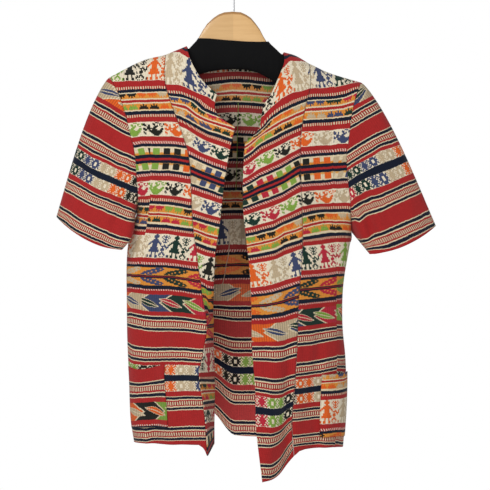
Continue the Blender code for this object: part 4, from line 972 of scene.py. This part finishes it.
# Creases, given one by one. Columns: start x and z, end x and z, half width and height in mm (a minus is a
# trough)
creaseDepth = 1.5  # all the heights times this
creases = {
    "sideRight": (
        (-150, -395, -95, -372, 9, -2.2), (-152, -420, -100, -428, 8, 1.8),
        (-160, -470, -110, -488, 10, -2.0), (-165, -505, -128, -512, 7, 1.6),
        (-120, -560, -116, -640, 8, -1.8), (-98, -575, -92, -668, 9, 1.9), (-150, -560, -155, -630, 7, 1.4),
        (-132, -250, -120, -330, 12, -1.6), (-150, -215, -138, -262, 8, 1.3),
        (-80, -640, -66, -742, 8, -1.8), (-108, -672, -104, -770, 9, 1.6),
    ),
    "centreRight": (
        (-95, -180, -60, -245, 9, 1.8), (-70, -210, -30, -262, 7, -1.6), (-55, -300, -22, -322, 7, 1.3),
        (-48, -380, -30, -450, 7, -1.6), (-40, -470, -44, -560, 6, 1.5),
    ),
    "centreLeft": (
        (100, -170, 60, -240, 9, 1.8), (86, -205, 40, -262, 7, -1.5), (90, -300, 40, -318, 9, 1.5),
        (95, -372, 52, -384, 8, -1.6), (60, -430, 52, -520, 9, 1.7), (84, -450, 82, -560, 8, -2.0),
        (45, -560, 50, -680, 8, -1.8), (84, -600, 80, -730, 7, -2.6), (60, -690, 58, -800, 9, 2.4),
        (92, -640, 90, -760, 5, 1.8),
    ),
    "sideLeft": (
        (180, -405, 130, -384, 9, -2.0), (184, -432, 126, -436, 8, 1.8), (182, -470, 134, -490, 9, -1.9),
        (178, -515, 150, -530, 7, 1.6), (140, -545, 134, -640, 8, -1.7), (122, -560, 116, -690, 7, 1.8),
        (158, -240, 150, -320, 11, -1.5), (176, -565, 172, -640, 7, 1.3), (112, -640, 110, -760, 6, -2.2),
        (150, -620, 144, -668, 7, 1.5),
    ),
    "back": (
        (-150, -400, -60, -372, 12, 2.2), (160, -410, 80, -380, 12, 2.0), (-60, -240, -40, -420, 16, -2.0),
        (70, -250, 56, -430, 15, 1.9), (0, -460, 10, -640, 14, -2.2), (60, -500, 66, -720, 13, 2.4),
        (-90, -500, -100, -700, 13, 2.0), (120, -480, 126, -690, 12, -2.0), (20, -600, 24, -760, 10, 2.2),
        (-150, -470, -120, -500, 10, -1.8), (168, -500, 130, -520, 9, 1.7),
        (-130, -620, -136, -750, 11, -1.8),
    ),
    "sleeveRight": (
        (-196, -250, -212, -370, 9, -2.4), (-222, -230, -238, -330, 11, 1.6),
        (-190, -330, -205, -430, 8, 2.2), (-176, -300, -230, -345, 8, -1.5),
        (-245, -340, -252, -420, 9, -1.6),
    ),
    "sleeveLeft": (
        (199, -368, 232, -476, 6, -5.5), (213, -372, 246, -470, 8, 2.8), (245, -240, 262, -340, 11, -1.6),
        (225, -262, 236, -330, 9, 1.4), (280, -340, 290, -420, 9, 1.5), (196, -385, 240, -372, 7, -1.6),
    ),
}


def addCreases(grid, name, facing):
    # facing is -1 for cloth that faces the front, 1 for the back, or one value for each column
    x, z = grid[:, :, 0] / millimetre, grid[:, :, 2] / millimetre
    lift = np.zeros(x.shape)
    for x0, z0, x1, z1, half, height in creases[name]:
        run = np.array([x1 - x0, z1 - z0])
        length = np.linalg.norm(run)
        along = ((x - x0) * run[0] + (z - z0) * run[1]) / length ** 2
        off = ((x - x0) * run[1] - (z - z0) * run[0]) / length
        bend = off + 0.05 * length * np.sin(math.pi * np.clip(along, 0, 1))
        lift += height * np.exp(-(bend / half) ** 2) * softBump((along - 0.5) / 0.72)
    grid[:, :, 1] += facing * lift * millimetre * creaseDepth


def acrossLengths(grid, levels, turn):
    # How far each point lies across the cloth, kept square to the bands where they slant
    steps = np.linalg.norm(np.diff(grid, axis=1), axis=2)
    along = np.concatenate([np.zeros((len(grid), 1)), np.cumsum(steps, axis=1)], axis=1)
    middle = along.shape[1] // 2
    width = along[:, -1] / bandUnit
    slant = -(levels[:, -1] - levels[:, 0]) / np.maximum(width, 1)
    falls = np.concatenate([[0], np.diff(levels[:, middle])])
    pushed = np.cumsum(slant * falls) * bandUnit
    base = along[:, middle].mean()
    return (along - along[:, middle:middle + 1] + base + pushed[:, None]) * turn


def figureShift(levels, shifts):
    # The shift of the figures at each level, held through a row of figures and changed between rows
    if np.isscalar(shifts):
        return np.full(levels.shape, shifts * bandUnit)
    knots = [level for first, last in figureRows for level in (first - 3.9, last + 3.9)]
    return np.interp(levels, knots, np.repeat(shifts, 2)) * bandUnit


def carriedGrid(mesh, points):
    # A grid that bmesh makes, its corners carried to the points. Gives the row and column of each corner.
    rows, columns = points.shape[:2]
    bmesh.ops.create_grid(mesh, x_segments=columns - 1, y_segments=rows - 1, size=1)
    index = {}
    for vert in mesh.verts:
        row, column = round((1 - vert.co.y) / 2 * (rows - 1)), round((vert.co.x + 1) / 2 * (columns - 1))
        index[vert.index] = (row, column)
        vert.co = Vector(points[row, column])
    return index


def finishSheet(name, mesh, outward, thickness):
    # Faces turned outward, smooth, with a wall on the inner side
    if outward < 0:
        bmesh.ops.reverse_faces(mesh, faces=mesh.faces[:])
    for face in mesh.faces:
        face.smooth = True
    item = makeItem(name, mesh)
    wall = item.modifiers.new("wall", "SOLIDIFY")
    wall.thickness = thickness
    wall.offset = -1
    return item, wall


def clothPiece(name, grid, parts, facing, shifts, turn=1, dip=None, around=None):
    # One cut piece of the jacket. A piece with "around", its lengths round a sleeve, closes into a tube.
    sheet = grid.copy()
    if dip is not None:
        sheet[:, dip, 1] -= facing * shape["seamDip"]
    mesh = bmesh.new()
    mesh.loops.layers.uv.new("weave")
    mesh.loops.layers.uv.new("figures")
    uv, placed = mesh.loops.layers.uv["weave"], mesh.loops.layers.uv["figures"]
    index = carriedGrid(mesh, sheet)
    spans = []
    for number, (first, levels) in enumerate(parts):
        last = first + levels.shape[1] - 1
        if around is None:
            u = acrossLengths(sheet[:, first:last + 1], levels, turn)
        else:
            u = np.broadcast_to(around, levels.shape)
        spans.append((first, last, u, levels * bandUnit, u + figureShift(levels, shifts[number])))
    for face in mesh.faces:
        places = [index[loop.vert.index] for loop in face.loops]
        middle = sum(place[1] for place in places) / len(places)
        first, last, u, v, moved = next(span for span in spans if span[0] <= middle <= span[1])
        for loop, (row, column) in zip(face.loops, places):
            loop[uv].uv = (u[row, column - first], v[row, column - first])
            loop[placed].uv = (moved[row, column - first], v[row, column - first])
    if around is not None:
        bmesh.ops.remove_doubles(mesh, verts=mesh.verts[:], dist=0.00002)
    bmesh.ops.recalc_face_normals(mesh, faces=mesh.faces[:])
    mesh.normal_update()
    if around is not None:
        centre = Vector(grid.reshape(-1, 3).mean(0))
        outward = sum(face.normal.dot(face.calc_center_median() - centre) for face in mesh.faces)
    else:
        outward = sum(face.normal.y * facing * face.calc_area() for face in mesh.faces)
    item, wall = finishSheet(name, mesh, outward, shape["wall"])
    item.data.materials.append(clothFace)
    item.data.materials.append(clothBack)
    wall.use_even_offset = True
    wall.thickness_clamp = 1.0
    wall.material_offset = 1
    wall.material_offset_rim = 0
    return item


def drawnIn(grid, amount):
    # The four edges drawn in along the cloth, so that neighbours only just clear each other
    placed = grid.copy()
    for edge, beside in ((0, 1), (-1, -2)):
        for here, there in ((placed[edge], grid[beside]), (placed[:, edge], grid[:, beside])):
            toward = there - here
            here += toward / np.maximum(np.linalg.norm(toward, axis=1, keepdims=True), 1e-9) * amount
    return placed


# Build the jacket
sideRight = sideFront(("sideRight", "dartRight", "princessRight"), -1)
sideLeft = sideFront(("sideLeft", "dartLeft", "princessLeft"), 1)
centreRight = centreFront(("princessRight", "edgeRight"), -1)
centreLeft = centreFront(("princessLeft", "middleLeft", "edgeLeft"), 1)
for centre, side in ((centreRight, sideRight), (centreLeft, sideLeft)):
    centre["grid"][:, 0] = side["grid"][:, -1]
back = backSheet((sideRight, sideLeft), (centreRight, centreLeft))

underarmRow = int(np.argmin(np.abs(downs - shape["underarm"])))
sheets = {}
for label, front, column in (("right", sideRight, 0), ("left", sideLeft, -1)):
    ring = np.vstack([front["grid"][:underarmRow + 1, 0], back["grid"][:underarmRow + 1, column][::-1][1:]])
    sheets[label] = sleeveSheet(ring, sleeves[label])

for name, part in (("sideRight", sideRight), ("sideLeft", sideLeft), ("centreRight", centreRight),
                   ("centreLeft", centreLeft), ("back", back)):
    edges = part["grid"][:, [0, -1]].copy()
    top = part["grid"][0].copy()
    addCreases(part["grid"], name, 1 if name == "back" else -1)
    part["grid"][:, [0, -1]] = edges
    part["grid"][0] = top
for label, name in (("right", "sleeveRight"), ("left", "sleeveLeft")):
    sheet = sheets[label]
    ring = sheet["grid"][0].copy()
    addCreases(sheet["grid"], name, -np.sin(sheet["angle"])[None, :])
    sheet["grid"][0] = ring
    sheet["grid"][:, -1] = sheet["grid"][:, 0]

# How far the figures are moved across each panel, in stripe levels, for each of the figure rows
panelShifts = {
    "sideRight": (
        (8, -6, 140, 150, 127, 82, 56, 71, 145, 133), (24, 12, 11, 150, 132, 85, 57, 71, 150, 131),
    ),
    "centreRight": ((65, 55, 48, 32, 13, 40, 87, 90, 150, 130),),
    "sideLeft": (
        (142, 125, 115, 95, 75, 50, 14, 20, 118, 137), (120, 106, 100, 85, 83, 55, 31, 33, 118, 137),
    ),
    "centreLeft": ((105, 83, 89, 78, 84, 117, 26, 32, 107, 129),),
    "back": ((0, 0, 0, 0, 0, 0, 45, 0, -75, 0),),
    "facing": (-18,), "pocketRight": (-28,), "pocketLeft": (85,),
    "sleeveRight": ((*[132] * 8, 182, 132),), "sleeveLeft": ((*[43] * 8, -7, 43),),
}


def hang(item, node, flat, area):
    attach(item, "root")
    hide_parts(node)


# Piece, the part it is cut from, its facing, turn and dipped edge, then its node, flat size and area
for name, part, facing, turn, dip, node, flat, area in (
        ("sideRight", sideRight, -1, 1, -1, "front_side_right", (0.17, 0.66), 0.085),
        ("sideLeft", sideLeft, -1, -1, -1, "front_side_left", (0.15, 0.64), 0.075),
        ("centreRight", centreRight, -1, 1, 0, "front_centre_right", (0.13, 0.68), 0.04),
        ("centreLeft", centreLeft, -1, -1, 0, "front_centre_left", (0.14, 0.70), 0.06),
        ("back", back, 1, -1, None, "back", (0.46, 0.68), 0.28)):
    title = "backPanel" if name == "back" else "front" + name[0].upper() + name[1:]
    edged = drawnIn(part["grid"], shape["gap"])
    hang(clothPiece(title, edged, part["parts"], facing, panelShifts[name], turn, dip), node, flat, area)
for label, name in (("right", "sleeveRight"), ("left", "sleeveLeft")):
    sheet = sheets[label]
    grid = sheet["grid"].copy()
    toward = grid[1] - grid[0]
    grid[0] += toward / np.linalg.norm(toward, axis=1, keepdims=True) * shape["gap"] * 2
    tube = clothPiece(name, grid, sheet["parts"], -1, panelShifts[name], around=sheet["around"])
    hang(tube, "sleeve_" + label, (0.38, 0.29), 0.07)
print("jacket panels and sleeves ready")

# Facing of the turned-back right front. Columns: share of the length, stripe level
facing = {
    "from": 0.70, "lift": 0.0018, "tilt": -5.0,
    "levels": (
        (0.70, 288), (0.75, 273), (0.775, 262), (0.80, 249), (0.85, 232), (0.90, 206), (0.95, 181.5),
        (1.0, 157),
    ),
}


def outwardNormals(grid):
    normals = np.cross(np.gradient(grid, axis=1), np.gradient(grid, axis=0))
    normals /= np.maximum(np.linalg.norm(normals, axis=2, keepdims=True), 1e-12)
    return normals * -np.sign(normals[:, :, 1].mean())


chosen = np.flatnonzero(downs >= facing["from"])
strip = centreRight["grid"][chosen]
strip = strip + outwardNormals(strip) * facing["lift"]
levels = np.interp(downs[chosen], *zip(*facing["levels"]))[:, None]
levels = levels + facing["tilt"] * np.linspace(0, 1, strip.shape[1])[None, :]
turned = clothPiece("facingRight", strip, [(0, levels)], -1, panelShifts["facing"])
hang(turned, "facing_right", (0.05, 0.24), 0.0092)

# Patch pockets. Columns and shares as on the side front; level at the top and the bottom edge
pockets = {
    "Right": {
        "panel": sideRight, "columns": (0.25, 3.75), "shares": (0.815, 0.962), "gape": 0.0020, "sag": 0.006,
        "levels": (346, 288), "flat": (0.066, 0.098), "area": 0.0062,
    },
    "Left": {
        "panel": sideLeft, "columns": (0.20, 3.70), "shares": (0.830, 0.975), "gape": 0.0045, "sag": 0.0,
        "levels": (208, 272), "flat": (0.06, 0.10), "area": 0.0056,
    },
}
pocketLift = 0.0022  # how far the pocket's face lies in front of the panel's


def sampled(grid, places, rows, columns):
    # The panel's points at other shares of its length and other columns
    byRow = np.stack([[np.interp(rows, downs, grid[:, j, k]) for k in range(3)]
                      for j in range(grid.shape[1])])
    return np.stack([np.stack([np.interp(columns, places, line[:, k]) for k in range(3)], axis=1)
                     for line in byRow.transpose(2, 0, 1)])


for label, pocket in pockets.items():
    columns = np.linspace(*pocket["columns"], 25)
    rows = np.linspace(*pocket["shares"], 33)
    points = sampled(pocket["panel"]["grid"], pocket["panel"]["places"], rows, columns)
    opened = ((pocket["shares"][1] - rows) / (pocket["shares"][1] - pocket["shares"][0])) ** 2
    arch = np.sin(math.pi * np.linspace(0, 1, len(columns)))
    lift = pocketLift + pocket["gape"] * opened[:, None] * (0.3 + arch[None, :])
    points = points + outwardNormals(points) * lift[:, :, None]
    points[:, :, 2] -= pocket["sag"] * opened[:, None] * arch[None, :]
    share = np.linspace(0, 1, len(rows))[:, None]
    levels = pocket["levels"][0] * (1 - share) + pocket["levels"][1] * share + np.zeros((1, len(columns)))
    patch = clothPiece("pocket" + label, points, [(0, levels)], -1, panelShifts["pocket" + label], turn=-1)
    hang(patch, "pocket_" + label.lower(), pocket["flat"], pocket["area"])
print("facing and pockets ready")

# Loose threads inside the back: points from top to bottom in mm
looseThreads = {
    "radius": 0.00055,
    "green": ((6.6, 32, -212), (6.8, 28, -226), (5.4, 30, -270), (4.6, 33, -320), (2.8, 36, -363)),
    "ivory": (
        (-8, 44.5, -415), (-8.6, 41, -424), (-8, 40, -450), (-10, 40, -474), (-13.5, 41, -488),
        (-16, 41, -505), (-20, 42, -523),
    ),
}


def looseThread(name):
    mesh = bmesh.new()
    before = []
    for point in looseThreads[name]:
        ring = bmesh.ops.create_circle(mesh, segments=6, radius=looseThreads["radius"])["verts"]
        bmesh.ops.translate(mesh, verts=ring, vec=Vector(point) * millimetre)
        edges = list({edge for vert in ring for edge in vert.link_edges})
        if before:
            bmesh.ops.bridge_loops(mesh, edges=before + edges)
        before = edges
    bmesh.ops.holes_fill(mesh, edges=mesh.edges[:])
    bmesh.ops.recalc_face_normals(mesh, faces=mesh.faces[:])
    item = makeItem(name + "Thread", mesh)
    finish, tree, shader = plainMaterial(name + "ThreadFinish", threads[name][:3], 0.9)
    light = noise(tree, objectPlace(tree), 700.0)
    tint = blendColours(tree, light, threads[name], (*[0.55 * value for value in threads[name][:3]], 1))
    tree.links.new(tint, shader.inputs["Base Color"])
    item.data.materials.append(finish)
    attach(item, "root")


def coverMaterial():
    finish, tree, shader = plainMaterial("blackCoverCloth", (0.004, 0.004, 0.004), 0.95)
    place = objectPlace(tree)
    fluff = noise(tree, place, 900.0, 3.0, 0.7)
    soft = noise(tree, place, 25.0, 3.0)
    mixed = times(tree, plus(tree, fluff, soft), 0.5)
    colour = softRamp(tree, mixed, (0.0012, 0.0012, 0.0013, 1), (0.0065, 0.0065, 0.007, 1))
    tree.links.new(colour, shader.inputs["Base Color"])
    shader.inputs["Specular IOR Level"].default_value = 0.2
    addBump(tree, shader, fluff, 0.5, 0.0004)
    return finish


woodRim = 0.0041  # how near the middle of its thickness the darker edge starts


def woodMaterial():
    finish, tree, shader = plainMaterial("paleWood", (0.6, 0.38, 0.19), 0.42)
    place = objectPlace(tree)
    grain = noise(tree, stretched(tree, place, (14, 60, 160)), 1.0, 4.0, 0.6)
    pores = noise(tree, stretched(tree, place, (60, 400, 1500)), 1.0, 2.0)
    mixed = plus(tree, times(tree, grain, 0.75), times(tree, pores, 0.25))
    colour = softRamp(tree, mixed, (0.63, 0.34, 0.115, 1), (0.90, 0.58, 0.26, 1))
    sideways, forward = splitPlace(tree, place)[:2]
    half = times(tree, lessThan(tree, sideways, -0.0012), 0.10)  # glued from two boards
    colour = blendColours(tree, half, colour, (0.10, 0.05, 0.02, 1))
    rim = lessThan(tree, calc(tree, "ABSOLUTE", forward), woodRim)
    colour = blendColours(tree, times(tree, rim, 0.8), colour, (0.42, 0.19, 0.045, 1))
    tree.links.new(colour, shader.inputs["Base Color"])
    shader.inputs["Coat Weight"].default_value = 0.25
    addBump(tree, shader, pores, 0.25, 0.0003)
    return finish


def wireMaterial():
    finish, tree, shader = plainMaterial("greyWire", (0.42, 0.42, 0.43), 0.35)
    shader.inputs["Metallic"].default_value = 1.0
    place = objectPlace(tree)
    colour = softRamp(tree, noise(tree, place, 400.0, 3.0), (0.30, 0.30, 0.31, 1), (0.55, 0.55, 0.56, 1))
    tree.links.new(colour, shader.inputs["Base Color"])
    return finish


# Cover of the hanger's arms. Columns: x, top, bottom, half thickness, in mm
cover = {
    "wall": 0.0014, "slot": 6.6, "seam": 0.6, "soft": 0.85, "around": 40, "stations": 120,
    "sections": (
        (-186, -175, -204, 12), (-160, -158.6, -203, 13), (-130, -148.1, -198, 13),
        (-113, -143.8, -195, 12.5), (-100, -139.4, -192, 12), (-78, -132.5, -183, 11),
        (-74, -131, -181, 11), (-68, -124.5, -178, 10.5), (-59, -115, -174, 10), (-40, -115.5, -169, 10),
        (-20, -117.5, -166, 10), (0, -119, -165, 10), (20, -120.5, -166, 10), (40, -121, -171, 10),
        (57, -120.5, -180, 10), (70, -132.5, -189, 10.5), (76, -138.5, -193, 11), (80, -141, -196, 11),
        (100, -145.2, -206, 12), (130, -161.9, -214, 13), (160, -175.4, -218, 13), (192, -185.2, -215, 12),
    ),
}


def coverGrid():
    table = np.array(cover["sections"], float)
    xs = np.unique(np.concatenate([np.linspace(table[0, 0], table[-1, 0], cover["stations"]), table[:, 0]]))
    rings = []
    for x in xs:
        top, bottom, half = (np.interp(x, table[:, 0], table[:, k]) for k in (1, 2, 3))
        nearSlot = softStep((62 - abs(x + 1)) / 3)
        spread = cover["seam"] + (cover["slot"] - cover["seam"]) * nearSlot
        start = math.asin(min(spread / half, 1))
        turns = np.linspace(start, 2 * math.pi - start, cover["around"])
        soft = np.sign(np.sin(turns)) * np.abs(np.sin(turns)) ** cover["soft"]
        high = (top + bottom) / 2 + (top - bottom) / 2 * np.cos(turns)
        ring = np.stack([np.full(len(turns), x), half * soft, high], axis=1)
        pucker = 0.35 * np.sin(x * 0.61 + 2.0 * np.sin(turns)) * np.sin(turns) + 0.25 * np.sin(x * 0.23 + 1.3)
        ring[:, 1] += pucker * np.sin(turns) * 0.8 * (1 - nearSlot * 0.4)
        lip = np.clip(1 - np.minimum(turns - turns[0], turns[-1] - turns) / 0.5, 0, 1) ** 1.5
        ring[:, 2] += (top - ring[0, 2]) * lip * nearSlot
        rings.append(ring * millimetre)
    return np.array(rings)


def buildCover():
    mesh = bmesh.new()
    carriedGrid(mesh, coverGrid())
    mesh.normal_update()
    outward = sum(face.normal.y * face.calc_center_median().y * face.calc_area() for face in mesh.faces)
    item, wall = finishSheet("hangerCover", mesh, outward, cover["wall"])
    item.data.materials.append(coverMaterial())
    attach(item, "root")
    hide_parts("hanger_cover")


looseThread("green")
looseThread("ivory")
buildCover()
for node, finish in (("hanger_wood", woodMaterial()), ("hanger_hook", wireMaterial())):
    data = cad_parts[node].data
    data.materials.clear()
    data.materials.append(finish)
print("hanger ready")
